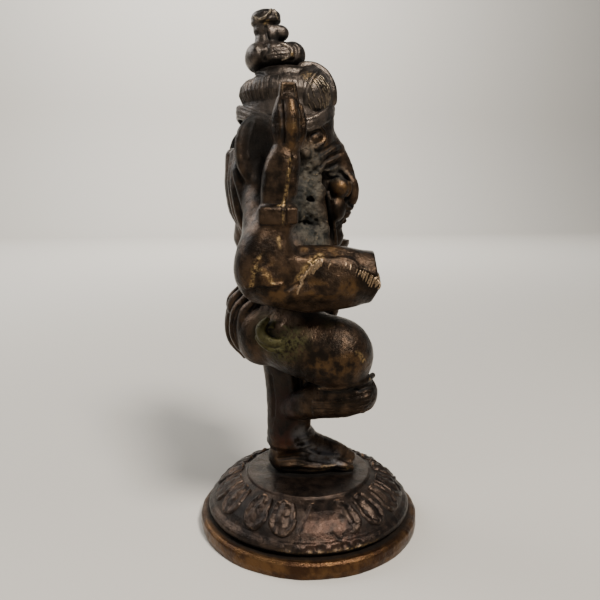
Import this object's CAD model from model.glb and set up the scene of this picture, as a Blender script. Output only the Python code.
"""Looks of a small cast-brass statuette: a four-armed dancing elephant-headed figure on a lotus pedestal.

The figure is modelled as a brass founder models it in wax. Each piece is put together from simple
shapes, worked with cuts and ridges, and smoothed into its neighbours where the metal ran together.
Lengths in the sculpting part are millimetres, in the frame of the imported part: +Z up, facing -Y.
"""
import math
from concurrent.futures import ThreadPoolExecutor

import bpy
import numpy as np
from mathutils import Matrix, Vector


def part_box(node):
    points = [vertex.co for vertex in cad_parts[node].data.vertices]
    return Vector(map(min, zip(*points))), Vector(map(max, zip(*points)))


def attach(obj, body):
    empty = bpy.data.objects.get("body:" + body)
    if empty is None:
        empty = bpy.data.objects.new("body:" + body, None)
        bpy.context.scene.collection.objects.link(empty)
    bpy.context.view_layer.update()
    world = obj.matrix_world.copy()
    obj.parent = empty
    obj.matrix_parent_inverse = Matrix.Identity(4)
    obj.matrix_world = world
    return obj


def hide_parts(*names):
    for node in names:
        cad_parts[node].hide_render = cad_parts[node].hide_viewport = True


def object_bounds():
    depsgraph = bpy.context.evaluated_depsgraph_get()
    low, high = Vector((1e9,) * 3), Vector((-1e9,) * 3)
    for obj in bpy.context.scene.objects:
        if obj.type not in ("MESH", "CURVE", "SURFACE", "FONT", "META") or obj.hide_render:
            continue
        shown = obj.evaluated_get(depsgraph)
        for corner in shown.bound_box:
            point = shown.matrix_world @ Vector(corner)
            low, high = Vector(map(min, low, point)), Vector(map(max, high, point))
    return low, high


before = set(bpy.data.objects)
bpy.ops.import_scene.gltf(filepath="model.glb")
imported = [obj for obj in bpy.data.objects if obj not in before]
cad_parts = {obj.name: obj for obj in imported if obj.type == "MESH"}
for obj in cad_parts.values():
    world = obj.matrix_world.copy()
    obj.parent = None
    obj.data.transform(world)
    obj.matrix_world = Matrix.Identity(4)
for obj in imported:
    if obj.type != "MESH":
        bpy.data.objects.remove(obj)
CAD_BOX = [list(corner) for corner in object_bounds()]

MM = 0.001
GRAIN = 0.22    # side of the cells that a piece is sculpted on
FAR = 6.0                               # distance given to points that a shape doesn't reach
REACH = 2.9                             # how far from a shape its distance is worked out
SKIN_DEPTH = 0.8                        # depth on each side of the wax that gets the cast skin
STEEPNESS = 0.35                        # how steeply a piece dives under its neighbours past its share
OVERLAP = 0.25                          # how far a piece goes on under what it touches
BLOCK = 4                               # cells along a block that is sampled, or skipped, as one
BLOCK_REACH = 5.2                       # cells from a block's middle where the skin may still cross it


def vec(*p):
    return np.array(p, float)


def unit(v):
    return v / np.linalg.norm(v)


class At:
    """Places given from the middle of a CAD node's box, in millimetres."""

    def __init__(self, node):
        lo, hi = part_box(node)
        self.lo = np.array(lo) / MM
        self.hi = np.array(hi) / MM
        self.mid = (self.lo + self.hi) / 2

    def __call__(self, x=0.0, y=0.0, z=0.0):
        return self.mid + (x, y, z)

    def path(self, *points):
        return [self.mid + p for p in points]


# ---------------------------------------------------------------- wax shapes

def in_box(P, lo, hi):
    x, y, z = P.T
    return (x > lo[0]) & (x < hi[0]) & (y > lo[1]) & (y < hi[1]) & (z > lo[2]) & (z < hi[2])


def size_of(P):
    """Length of each row."""
    return np.sqrt(np.einsum("ij,ij->i", P, P))


class Shape:
    """A wax shape: the box it fills and a function that gives the distance of points to its skin."""

    def __init__(self, lo, hi, far):
        self.lo = np.array(lo, float)
        self.hi = np.array(hi, float)
        self.far = far

    def near(self, P, margin):
        return in_box(P, self.lo - margin, self.hi + margin)


def turn(x=0.0, y=0.0, z=0.0):
    """Rotation matrix for turns about X, then Y, then Z, in degrees."""
    a, b, c = (math.radians(q) for q in (x, y, z))
    rx = np.array([[1, 0, 0], [0, math.cos(a), -math.sin(a)], [0, math.sin(a), math.cos(a)]])
    ry = np.array([[math.cos(b), 0, math.sin(b)], [0, 1, 0], [-math.sin(b), 0, math.cos(b)]])
    rz = np.array([[math.cos(c), -math.sin(c), 0], [math.sin(c), math.cos(c), 0], [0, 0, 1]])
    return rz @ ry @ rx


def egg(centre, half, tilt=(0, 0, 0)):
    """Round body with the given half axes, turned by tilt."""
    s = np.ones(3) * half
    R = turn(*tilt)
    span = np.sqrt(((R * s) ** 2).sum(1))

    def far(P):
        q = (P - centre) @ R
        a, b = size_of(q / s), size_of(q / s ** 2)
        return a * (a - 1) / np.maximum(b, 1e-6)
    return Shape(centre - span, centre + span, far)


def block(centre, half, tilt=(0, 0, 0), rounding=0.5):
    """Slab with rounded edges."""
    s = np.array(half, float) - rounding
    R = turn(*tilt)
    span = np.abs(R) @ (s + rounding)

    def far(P):
        q = np.abs((P - centre) @ R) - s
        return size_of(np.maximum(q, 0)) + np.minimum(q.max(1), 0) - rounding
    return Shape(centre - span, centre + span, far)


def curve(points, steps):
    """Smooth curve through the points, with so many steps between each two."""
    p = np.array(points, float)
    p = np.vstack([2 * p[0] - p[1], p, 2 * p[-1] - p[-2]])
    out = []
    for i in range(1, len(p) - 2):
        a, b, c, d = p[i - 1:i + 3]
        for t in np.arange(steps) / steps:
            out.append(0.5 * (2 * b + (c - a) * t + (2 * a - 5 * b + 4 * c - d) * t ** 2
                              + (3 * b - a - 3 * c + d) * t ** 3))
    return np.array(out + [p[-2]])


def rod(points, radii, steps=4, flat=None, loop=False):
    """Round rod along a smooth curve, thick as the list radii. flat = (direction, times thinner)."""
    points = [np.array(p, float) for p in points]
    if loop:
        points = points + [points[0]]
    radii = np.interp(np.linspace(0, 1, len(points)), np.linspace(0, 1, len(np.atleast_1d(radii))),
                      np.atleast_1d(radii)) if np.ndim(radii) else np.full(len(points), float(radii))
    track = curve(np.column_stack([points, radii]), steps) if len(points) > 2 and steps > 1 \
        else np.column_stack([points, radii])
    centre, thick = track[:, :3], track[:, 3]
    lo, hi = (centre - thick[:, None]).min(0), (centre + thick[:, None]).max(0)
    squeeze = np.eye(3)
    if flat:
        axis = unit(np.array(flat[0], float))
        squeeze = squeeze + (flat[1] - 1) * np.outer(axis, axis)
    bent = centre @ squeeze
    foot, step = bent[:-1], np.diff(bent, axis=0)
    run = np.maximum((step * step).sum(1), 1e-12)
    foot_step, foot_foot = (foot * step).sum(1), (foot * foot).sum(1)

    def far(P):
        # Each point against each straight stretch of the rod at once.
        Q = P @ squeeze
        along = Q @ step.T - foot_step
        t = np.clip(along / run, 0, 1)
        gap = (Q * Q).sum(1)[:, None] - 2 * Q @ foot.T + foot_foot - 2 * t * along + t * t * run
        d = np.sqrt(np.maximum(gap, 0)) - thick[:-1] - np.diff(thick) * t
        if not flat:
            return d.min(1)
        k = d.argmin(1)
        row = np.arange(len(P))
        away = Q - foot[k] - t[row, k][:, None] * step[k]
        away /= np.maximum(size_of(away), 1e-6)[:, None]
        return d[row, k] / np.maximum(size_of(away @ squeeze), 1e-3)
    return Shape(lo, hi, far)


def outline_distance(Q, outline):
    """Signed distance of 2-D points to a closed outline, negative inside."""
    a, b = outline, np.roll(outline, -1, axis=0)
    ab = b - a
    rel = Q[:, None] - a
    t = np.clip((rel * ab).sum(2) / (ab * ab).sum(1), 0, 1)
    gap = rel - t[..., None] * ab
    best = (gap * gap).sum(2).min(1)
    crosses = (a[:, 1] > Q[:, 1:]) != (b[:, 1] > Q[:, 1:])
    rise = np.where(ab[:, 1] == 0, 1, ab[:, 1])
    inside = (crosses & (rel[..., 0] < ab[:, 0] * rel[..., 1] / rise)).sum(1) % 2
    return np.where(inside, -1, 1) * np.sqrt(best)


def lathe(foot, axis, profile, rounding=0.15):
    """Turned body: the (radius, height) profile spun about an axis that starts at foot."""
    axis = unit(np.array(axis, float))
    outline = np.array(profile, float)
    top, wide = outline[:, 1], outline[:, 0].max()
    ends = np.array([foot + axis * top.min(), foot + axis * top.max()])

    def far(P):
        h = (P - foot) @ axis
        r = size_of(P - foot - h[:, None] * axis)
        return outline_distance(np.column_stack([r, h]), outline) - rounding
    return Shape(ends.min(0) - wide, ends.max(0) + wide, far)


def slab(origin, across, up, outline, half, rounding=0.2):
    """Flat plate: an outline in the plane of across and up, half as thick as half each way."""
    across, up = unit(np.array(across, float)), unit(np.array(up, float))
    normal = np.cross(across, up)
    outline = np.array(outline, float)
    corners = np.array([origin + x * across + y * up for x, y in outline])

    def far(P):
        q = P - origin
        d = outline_distance(np.column_stack([q @ across, q @ up]), outline) + rounding
        w = np.abs(q @ normal) - half + rounding
        return np.sqrt(np.maximum(d, 0) ** 2 + np.maximum(w, 0) ** 2) + np.minimum(np.maximum(d, w), 0) - rounding
    return Shape(corners.min(0) - half, corners.max(0) + half, far)


def ring_of(centre, axis, radii, thick):
    """Round or oval ring about an axis."""
    axis = unit(np.array(axis, float))
    u = unit(vec(1, 0, 0) - axis[0] * axis)
    plane = np.array([u, np.cross(axis, u)])
    s = np.array(radii, float)
    span = np.sqrt(((plane * s[:, None]) ** 2).sum(0)) + thick

    def far(P):
        q = P - centre
        v = q @ plane.T
        a = size_of(v / s)
        flat = a * (a - 1) / np.maximum(size_of(v / s ** 2), 1e-6)
        return np.sqrt(flat ** 2 + (q @ axis) ** 2) - thick
    return Shape(centre - span, centre + span, far)


def beyond(point, normal):
    """Everything past a plane, to plane a facet with."""
    n = unit(np.array(normal, float))
    return Shape([-1e3] * 3, [1e3] * 3, lambda P: -((P - point) @ n))


def soft_min(a, b, k):
    if k <= 0:
        return np.minimum(a, b)
    h = np.maximum(k - np.abs(a - b), 0)
    return np.minimum(a, b) - h * h / (4 * k)


# ---------------------------------------------------------------- the skin of the casting

LATTICE = np.random.default_rng(7).random((32, 32, 32)).astype(np.float32)


def lumps(P, size):
    """Smooth random swelling between -1 and 1, with lumps of about that size."""
    q = P / size
    i = np.floor(q).astype(int)
    f = q - i
    f = f * f * (3 - 2 * f)
    total = 0
    near_end, far_end, weights = i % 32, (i + 1) % 32, (1 - f, f)
    for cx in (0, 1):
        for cy in (0, 1):
            for cz in (0, 1):
                x, y, z = (((near_end, far_end)[c])[:, axis] for axis, c in enumerate((cx, cy, cz)))
                w = weights[cx][:, 0] * weights[cy][:, 1] * weights[cz][:, 2]
                total = total + w * LATTICE[x, y, z]
    return 2 * total - 1


def casting_skin(P):
    """How far the cast skin stands off the wax: slow swellings and fine grains, deep where it is rough."""
    skin = 0.07 * lumps(P, 2.6) + 0.035 * lumps(P + 50, 0.9)
    crust = tint_at(P, "crust")
    k = np.nonzero(crust > 0.02)[0]
    if len(k):
        skin[k] += crust[k] * (0.22 * lumps(P[k] + 20, 1.1) + 0.2 * lumps(P[k] + 80, 0.55))
    return skin


class Stain:
    """Soft-edged streak along a line, or patch round a point, where a tint shows."""

    def __init__(self, tint, radius, strength, points):
        line = np.array(points, float)
        self.tint, self.radius, self.strength = tint, radius, strength
        self.line = rod(line, 0.0, steps=3) if len(line) > 1 else None
        self.spot = line[0]
        self.lo, self.hi = line.min(0) - 1.4 * radius, line.max(0) + 1.4 * radius

    def at(self, P):
        out = np.zeros(len(P))
        k = np.nonzero(in_box(P, self.lo, self.hi))[0]
        if len(k):
            d = self.line.far(P[k]) if self.line else size_of(P[k] - self.spot)
            fade = np.clip(1.3 - d / self.radius, 0, 1)
            out[k] = self.strength * fade * fade * (3 - 2 * fade)
        return out


STAINS = []
TINTS = ("gold", "ochre", "green", "red", "slate", "soot", "crust")


def stain(tint, radius, strength, *points):
    STAINS.append(Stain(tint, radius, strength, points))


def tint_at(P, tint):
    out = np.zeros(len(P))
    for s in STAINS:
        if s.tint == tint:
            out = np.maximum(out, s.at(P))
    return out


PIECES = {}


class Piece:
    """A piece of the figure: wax shapes added and cut in order, then welded to what it touches."""

    def __init__(self, name, weld=0.9):
        self.name, self.weld, self.steps = name, weld, []
        self.lo, self.hi = np.full(3, 1e9), np.full(3, -1e9)
        PIECES[name] = self

    def add(self, shape, blend=0.7):
        self.steps.append((1, shape, blend))
        self.lo, self.hi = np.minimum(self.lo, shape.lo), np.maximum(self.hi, shape.hi)
        return self

    def cut(self, shape, blend=0.3):
        self.steps.append((-1, shape, blend))
        return self

    def far(self, P):
        out = np.full(len(P), FAR)
        mine = np.nonzero(in_box(P, self.lo - REACH, self.hi + REACH))[0]
        if not len(mine):
            return out
        P = P[mine]
        d = np.full(len(P), FAR)
        for sign, shape, blend in self.steps:
            k = np.nonzero(shape.near(P, REACH if sign > 0 else blend + 0.3))[0]
            if len(k):
                new = shape.far(P[k])
                d[k] = soft_min(d[k], new, blend) if sign > 0 else -soft_min(-d[k], new, blend)
        out[mine] = d
        return out

    def on_skin(self, points, lift=0.0):
        """The points moved onto the piece's skin, lifted by that much."""
        P = np.array(points, float)
        for _ in range(6):
            d, n = slope(self.far, P)
            P = P - (d - lift)[:, None] * n
        return P

    def ridge(self, points, radius, blend=0.25, lift=0.0, steps=6):
        """Raised line that follows the skin along the points."""
        track = self.on_skin(curve(points, steps), lift)
        return self.add(rod(track, radius, steps=1), blend)

    def groove(self, points, radius, blend=0.25, lift=0.0, steps=6):
        track = self.on_skin(curve(points, steps), lift)
        return self.cut(rod(track, radius, steps=1), blend)


CORNERS_OF_FOUR = np.array([(1, 1, 1), (1, -1, -1), (-1, 1, -1), (-1, -1, 1)], float)


def slope(far, P, eps=0.04):
    """Distance and unit gradient of a distance function, from four samples round each point."""
    d = [far(P + eps * c) for c in CORNERS_OF_FOUR]
    g = sum(v[:, None] * c for v, c in zip(d, CORNERS_OF_FOUR))
    return sum(d) / 4, g / np.maximum(size_of(g), 1e-9)[:, None]


# ---------------------------------------------------------------- from wax to metal

def welded(near, P):
    """Distances of the points to the whole figure, and to each piece of the list near."""
    each = {p.name: p.far(P) for p in near}
    whole = np.full(len(P), FAR)
    for p in near:
        whole = soft_min(whole, each[p.name], p.weld)
    skin = np.abs(whole) < SKIN_DEPTH
    whole[skin] -= casting_skin(P[skin])
    return np.maximum(whole, -P[:, 2]), each


def piece_field(piece, near):
    """Distance function of one piece as cast: it follows the figure's common skin over its own
    share, and dives under its neighbours past that share."""
    def far(P):
        whole, each = welded(near, P)
        own = each[piece.name]
        others = np.min([each[p.name] for p in near if p is not piece] or [np.full(len(P), FAR)], axis=0)
        return np.maximum(whole + STEEPNESS * np.maximum(own - others, 0), own - piece.weld / 4 - OVERLAP)
    return far


CORNERS = np.array([(i & 1, i >> 1 & 1, i >> 2) for i in range(8)])
EDGES = [(a, b) for a in range(8) for b in range(a + 1, 8) if bin(a ^ b).count("1") == 1]


def sample_grid(far, lo, hi, h):
    """Distances on a grid of cell h over the box, worked out only near the skin."""
    blocks = np.ceil((hi - lo) / (BLOCK * h)).astype(int)
    spots = np.indices(blocks).reshape(3, -1).T
    value = far(lo + (spots * BLOCK + (BLOCK - 1) / 2) * h)
    grid = np.broadcast_to(value.reshape(blocks)[:, None, :, None, :, None],
                           (blocks[0], BLOCK, blocks[1], BLOCK, blocks[2], BLOCK)).reshape(blocks * BLOCK).copy()
    live = spots[np.abs(value) < BLOCK_REACH * h] * BLOCK
    inner = np.indices((BLOCK, BLOCK, BLOCK)).reshape(3, -1).T
    idx = (live[:, None] + inner[None]).reshape(-1, 3)
    grid[tuple(idx.T)] = far(lo + idx * h)
    return grid


def skin_of(grid, lo, h):
    """Quad mesh of the zero level of the grid, one vertex in each cell that the skin crosses."""
    inside = grid < 0
    n = np.array(grid.shape) - 1
    count = sum(inside[c[0]:n[0] + c[0], c[1]:n[1] + c[1], c[2]:n[2] + c[2]].astype(np.int8) for c in CORNERS)
    cells = np.argwhere((count > 0) & (count < 8))
    number = np.full(n, -1)
    number[tuple(cells.T)] = np.arange(len(cells))
    c = np.stack([grid[tuple((cells + o).T)] for o in CORNERS], 1)
    total, hits = np.zeros((len(cells), 3)), np.zeros(len(cells))
    for a, b in EDGES:
        cross = (c[:, a] < 0) != (c[:, b] < 0)
        t = c[cross, a] / (c[cross, a] - c[cross, b])
        total[cross] += CORNERS[a] + t[:, None] * (CORNERS[b] - CORNERS[a])
        hits[cross] += 1
    verts = lo + (cells + total / hits[:, None]) * h
    quads = []
    for axis in range(3):
        u, v = (axis + 1) % 3, (axis + 2) % 3
        first = [slice(None)] * 3
        second = [slice(None)] * 3
        first[axis], second[axis] = slice(0, -1), slice(1, None)
        s, e = inside[tuple(first)], inside[tuple(second)]
        at = np.argwhere(s != e)
        at = at[(at[:, u] > 0) & (at[:, v] > 0) & (at[:, u] < n[u]) & (at[:, v] < n[v])]
        ring = []
        for du, dv in ((-1, -1), (0, -1), (0, 0), (-1, 0)):
            q = at.copy()
            q[:, u] += du
            q[:, v] += dv
            ring.append(number[tuple(q.T)])
        ring = np.stack(ring, 1)
        out = s[tuple(at.T)]
        quads.append(np.where(out[:, None], ring, ring[:, ::-1]))
    return verts, np.vstack(quads)


def relaxed(verts, quads, far, h):
    """Evens out the mesh along the skin and puts its vertices back on it."""
    ends = np.vstack([quads[:, [0, 1]], quads[:, [1, 2]], quads[:, [2, 3]], quads[:, [3, 0]]])
    for _ in range(2):
        mean = np.zeros_like(verts)
        for axis in range(3):
            mean[:, axis] = np.bincount(ends[:, 0], verts[ends[:, 1], axis], len(verts)) \
                + np.bincount(ends[:, 1], verts[ends[:, 0], axis], len(verts))
        degree = np.bincount(ends[:, 0], minlength=len(verts)) + np.bincount(ends[:, 1], minlength=len(verts))
        move = mean / degree[:, None] - verts
        d, n = slope(far, verts)
        move -= (move * n).sum(1)[:, None] * n
        verts = verts + 0.6 * move - np.clip(d, -h, h)[:, None] * n
    return verts, n


def wear_of(near, verts, n):
    """How hollow and how proud the figure is at each vertex, from 0 to 1."""
    hollow, proud = np.zeros(len(verts)), np.zeros(len(verts))
    for reach, share in ((0.35, 0.25), (0.9, 0.35), (2.2, 0.4)):
        outside = welded(near, verts + n * reach)[0]
        hollow += share * np.clip(1 - outside / reach, 0, 1)
    hollow += 0.3 * np.clip(-n[:, 2], 0, 1)
    for reach, share in ((0.4, 0.5), (1.0, 0.5)):
        within = welded(near, verts - n * reach)[0]
        proud += share * np.clip(1 + within / reach, 0, 1)
    return hollow, proud


def make_mesh(name, verts, faces, masks=None):
    """Blender object with its place in its mesh, from millimetre points."""
    mesh = bpy.data.meshes.new(name)
    faces = np.asarray(faces)
    size = faces.shape[1]
    mesh.vertices.add(len(verts))
    mesh.vertices.foreach_set("co", (np.asarray(verts) * MM).astype(np.float32).ravel())
    mesh.loops.add(faces.size)
    mesh.loops.foreach_set("vertex_index", faces.astype(np.int32).ravel())
    mesh.polygons.add(len(faces))
    mesh.polygons.foreach_set("loop_start", np.arange(0, faces.size, size, dtype=np.int32))
    mesh.update(calc_edges=True)
    mesh.polygons.foreach_set("use_smooth", np.ones(len(faces), bool))
    for key, values in (masks or {}).items():
        mesh.attributes.new(key, "FLOAT", "POINT").data.foreach_set("value", values.astype(np.float32))
    mesh.validate()
    obj = bpy.data.objects.new(name, mesh)
    bpy.context.scene.collection.objects.link(obj)
    return obj


def cast_form(piece):
    """The piece's skin as vertices and quads, with its masks."""
    near = [p for p in PIECES.values()
            if (p.lo < piece.hi + REACH).all() and (p.hi > piece.lo - REACH).all()]
    far = piece_field(piece, near)
    pad = piece.weld / 4 + OVERLAP + 3 * GRAIN
    lo, hi = piece.lo - pad, piece.hi + pad
    verts, quads = skin_of(sample_grid(far, lo, hi, GRAIN), lo, GRAIN)
    verts, n = relaxed(verts, quads, far, GRAIN)
    verts = np.clip(verts, BOX_LO, BOX_HI)
    hollow, proud = wear_of(near, verts, n)
    return verts, quads, {"hollow": hollow, "proud": proud, **{t: tint_at(verts, t) for t in TINTS}}


def cast(name, form, material, slot, nodes):
    """Makes the metal mesh and puts it in the place of its CAD nodes."""
    obj = make_mesh(name, *form)
    obj.data.materials.append(material)
    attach(obj, "root")
    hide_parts(*nodes)
    return obj


BOX_LO = np.array(CAD_BOX[0]) / MM + 0.01
BOX_HI = np.array(CAD_BOX[1]) / MM - 0.01
BOX_LO[2] = 0

# ---------------------------------------------------------------- pedestal

UP = vec(0, 0, 1)


def cushion_slope():
    """Radius and height of the cushion's side, from its lip up to the plate."""
    seat, rim = At("lotus_cushion"), At("plinth").hi[2]
    lip, high = seat.hi[0], seat.hi[2]
    return [(lip - 0.75, rim + 2.15), (lip - 1.35, rim + 2.35), (lip - 2.2, rim + 3.7), (lip - 3.6, rim + 5.0),
            (lip - 5.3, rim + 5.95), (lip - 6.9, high - 0.45), (lip - 7.6, high - 0.2)]


def sculpt_pedestal():
    disc, seat, top = At("plinth"), At("lotus_cushion"), At("foot_plate")
    r, foot = disc.hi[0], vec(0, 0, 0)
    rim = disc.hi[2]
    Piece("plinth_disc", weld=0.25).add(lathe(foot, UP, [
        (0, -0.3), (r - 0.75, -0.3), (r - 0.35, 0.25), (r - 0.2, 1.3), (r - 0.3, rim - 0.6),
        (r - 0.7, rim - 0.22), (r - 2.4, rim - 0.3), (0, rim - 0.3)], rounding=0.2))
    lip = seat.hi[0]
    cushion = Piece("cushion", weld=0.25).add(lathe(foot, UP, [
        (0, rim - 0.4), (lip - 1.7, rim - 0.4), (lip - 1.5, rim + 0.35), (lip - 0.65, rim + 0.55),
        (lip - 0.25, rim + 1.05), (lip - 0.3, rim + 1.7), *cushion_slope(), (0, cushion_slope()[-1][1])],
        rounding=0.2))
    high = seat.hi[2]
    # Where hands have held it the petals are rubbed down; two scratches cross the bare side, and its
    # lower edge is chipped.
    for around, s0, s1, sway in ((-15, 0.35, 0.8, 14), (9, 0.05, 0.3, -22)):
        side = cushion_slope()
        marks = []
        for t in (s0, (s0 + s1) / 2, s1):
            k = t * (len(side) - 1)
            wide, level = (np.interp(k, range(len(side)), [q[i] for q in side]) for i in (0, 1))
            a = math.radians(180 + around + sway * (t - s0))
            marks.append(vec(wide * math.cos(a), wide * math.sin(a), level))
        cushion.groove(marks, 0.2, 0.25)
    for a, deep in ((171, 0.5), (176, 0.7), (184, 0.45), (189, 0.8), (196, 0.5), (160, 0.4)):
        q = math.radians(a)
        cushion.cut(egg(vec((lip - 0.1) * math.cos(q), (lip - 0.1) * math.sin(q), rim + 1.9), (deep, 0.9, 0.7),
                        (0, 0, a)), 0.3)
    plate = top.hi[0]
    Piece("standing_plate", weld=0.3).add(lathe(foot, UP, [
        (0, high - 0.5), (plate - 0.3, high - 0.5), (plate - 0.2, high + 0.1), (plate - 0.35, top.hi[2] - 0.2),
        (0, top.hi[2] - 0.2)], rounding=0.15))


# ---------------------------------------------------------------- standing leg

def sculpt_standing_leg():
    foot, band, leg = At("standing_foot"), At("standing_anklet"), At("standing_leg")
    sole = foot.lo[2]
    p = Piece("standing_foot_cast", weld=0.5)
    p.add(egg(foot(0.5, 4.4, -0.2), (3.9, 4.2, 3.4)))
    p.add(egg(foot(0.0, -0.8, -1.1), (4.4, 6.6, 2.8)), 1.5)
    p.add(rod(foot.path((0.7, 3.4, 2.6), (0.1, -1.2, 1.5), (-0.3, -5.6, 0.3), (-0.5, -8.2, -0.9)),
              [3.7, 2.7, 1.9, 1.2]), 1.2)
    for i, x in enumerate((-3.2, -1.5, 0.1, 1.6, 3.1)):
        tip = -7.9 + 0.28 * abs(i - 1) ** 1.5
        p.add(rod(foot.path((x * 0.8, -4.2, -1.3), (x, -6.2, -1.7), (x, tip, -2.1)), [1.2, 1.05, 0.85]), 0.35)
    p.cut(beyond(vec(0, 0, sole - 0.25), (0, 0, -1)), 0.1)
    # Folds of the instep, one below the other.
    p.ridge(foot.path((-2.2, 6.6, 1.6), (-3.6, 4.2, 2.6), (-4.4, 1.4, 2.7), (-4.2, -1.6, 1.6), (-3.4, -5.4, 0.6)),
            0.42, 0.3)
    p.groove(foot.path((-2.4, 6.8, 0.4), (-4.2, 3.6, 1.2), (-4.6, 0.2, 0.9), (-4.2, -3.4, -0.2)), 0.36, 0.3)
    p.ridge(foot.path((-3.0, 6.4, -0.8), (-4.4, 3.0, -0.6), (-4.9, -0.6, -1.0), (-4.4, -4.4, -1.2)), 0.34, 0.3)
    p.groove(foot.path((-3.0, 6.2, -1.8), (-4.4, 2.6, -1.8), (-4.8, -2.0, -2.0), (-4.0, -6.4, -2.0)), 0.28, 0.2)
    ring = Piece("standing_anklet_band", weld=0.6)
    c = band()
    ring.add(lathe(vec(c[0] + 0.1, c[1] + 0.2, band.lo[2]), UP, [
        (0, -0.3), (4.5, -0.3), (4.85, 0.25), (4.5, 0.8), (4.2, 1.15), (4.55, 1.5), (4.5, 2.0), (4.1, 2.4),
        (0, 2.4)]))
    ring.groove([c + q for q in ((-2.4, 4.4, 0.9), (-4.4, 1.6, 0.2), (-4.6, -1.6, 0.6), (-3.0, -4.0, 0.2))], 0.3, 0.3)
    shin = Piece("standing_leg_cast", weld=1.0)
    shin.add(rod(leg.path((-0.5, -0.2, -10.2), (-0.5, -0.3, -4), (-0.3, -0.2, 2), (0.2, 0.4, 9.4)),
                 [4.3, 4.5, 4.75, 5.2]))
    # The end of the loincloth hangs down the side of the leg.
    shin.add(rod(leg.path((-4.6, 0.9, 7.2), (-4.9, 0.1, 4.0), (-4.8, -0.3, 1.0), (-4.3, -1.2, -2.8),
                          (-3.6, -2.6, -6.6)),
                 [0.5, 0.55, 0.5, 0.7, 0.5]), 0.45)
    shin.add(rod(leg.path((-3.2, -4.2, 8.0), (-4.3, -3.4, 3.0), (-4.2, -3.2, -2.4), (-3.2, -3.6, -7.4)),
                 [1.5, 1.5, 1.1, 0.6]), 0.6)
    shin.groove(leg.path((-4.2, -1.6, 7.0), (-4.9, -1.7, 3.0), (-4.9, -1.9, -0.6), (-4.4, -2.2, -4.4)), 0.4, 0.35)
    shin.groove(leg.path((-3.0, 3.6, 3.0), (-3.4, 3.2, -1.0), (-3.0, 3.0, -5.0)), 0.28, 0.5)


# ---------------------------------------------------------------- raised leg

def sculpt_raised_leg():
    thigh, shin, band, foot = At("right_thigh"), At("right_shin"), At("right_anklet"), At("right_foot")
    p = Piece("right_thigh_cast", weld=1.0)
    p.add(rod(thigh.path((5.6, 5.6, 1.6), (1.4, 0.8, 0.0), (-2.1, -5.2, -2.3)), [6.5, 6.6, 6.0]))
    p.add(egg(thigh(-2.4, -5.3, -0.9), (5.4, 5.2, 5.7), (-12, 0, 10)), 2.0)
    p.groove(thigh.path((-3.5, -10.6, 1.3), (-1.1, -9.9, 2.3), (1.1, -9.5, 2.7)), 0.3, 0.5)
    q = Piece("right_shin_cast", weld=0.4)
    q.add(rod(shin.path((-1.7, -3.1, 1.4), (-0.3, -1.0, 0.3), (3.2, 3.6, -1.9)), [3.75, 4.1, 3.3]))
    q.add(egg(shin(-2.6, -3.8, 1.0), (3.0, 3.1, 3.3)), 1.0)
    # Where thigh and shin press together the cloth stands up in two lips.
    q.add(rod(shin.path((-2.9, -6, 4.6), (-5, -4, 4.4), (-5.6, -1, 3.9), (-4.7, 1.6, 3.2), (-2.9, 3.8, 2.5)),
              [0.5, 0.65, 0.7, 0.6, 0.4]), 0.35)
    q.groove(shin.path((-3.7, -6, 3.2), (-5.9, -2.4, 2.9), (-5.7, 0.4, 2.2), (-3.9, 3.4, 1.4), (-2.5, 5, 1)), 0.4,
             0.3)
    for k, lift in enumerate((1.0, -0.1, -1.2, -2.3, -3.3)):
        q.ridge(shin.path((-5.6, -5.0 + 0.3 * k, lift + 0.7), (-5.9, -2.0, lift), (-3.9, 1.6, lift - 0.8),
                          (-0.8, 4.6, lift - 1.6)),
                0.36, 0.3, lift=-0.1)
    ring = Piece("right_anklet_band", weld=0.6)
    ring.add(rod(band.path((-0.7, -1.2, 0.6), (1.1, 1.0, -0.7)), [3.1, 2.8]))
    sole = Piece("right_foot_cast", weld=0.9)
    sole.add(rod(foot.path((-1.2, -2.2, 0.9), (0.6, -0.4, 0), (1.8, 0.8, -0.6)), [2.6, 2.5, 2.2]))
    for k in range(4):
        y = -3.2 + 1.2 * k
        sole.groove(foot.path((-2.6, y - 1.1, 2.0), (-2.8, y, 0.2), (-2.0, y + 1.2, -1.6)), 0.22)


# ---------------------------------------------------------------- hips and cloth

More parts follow.
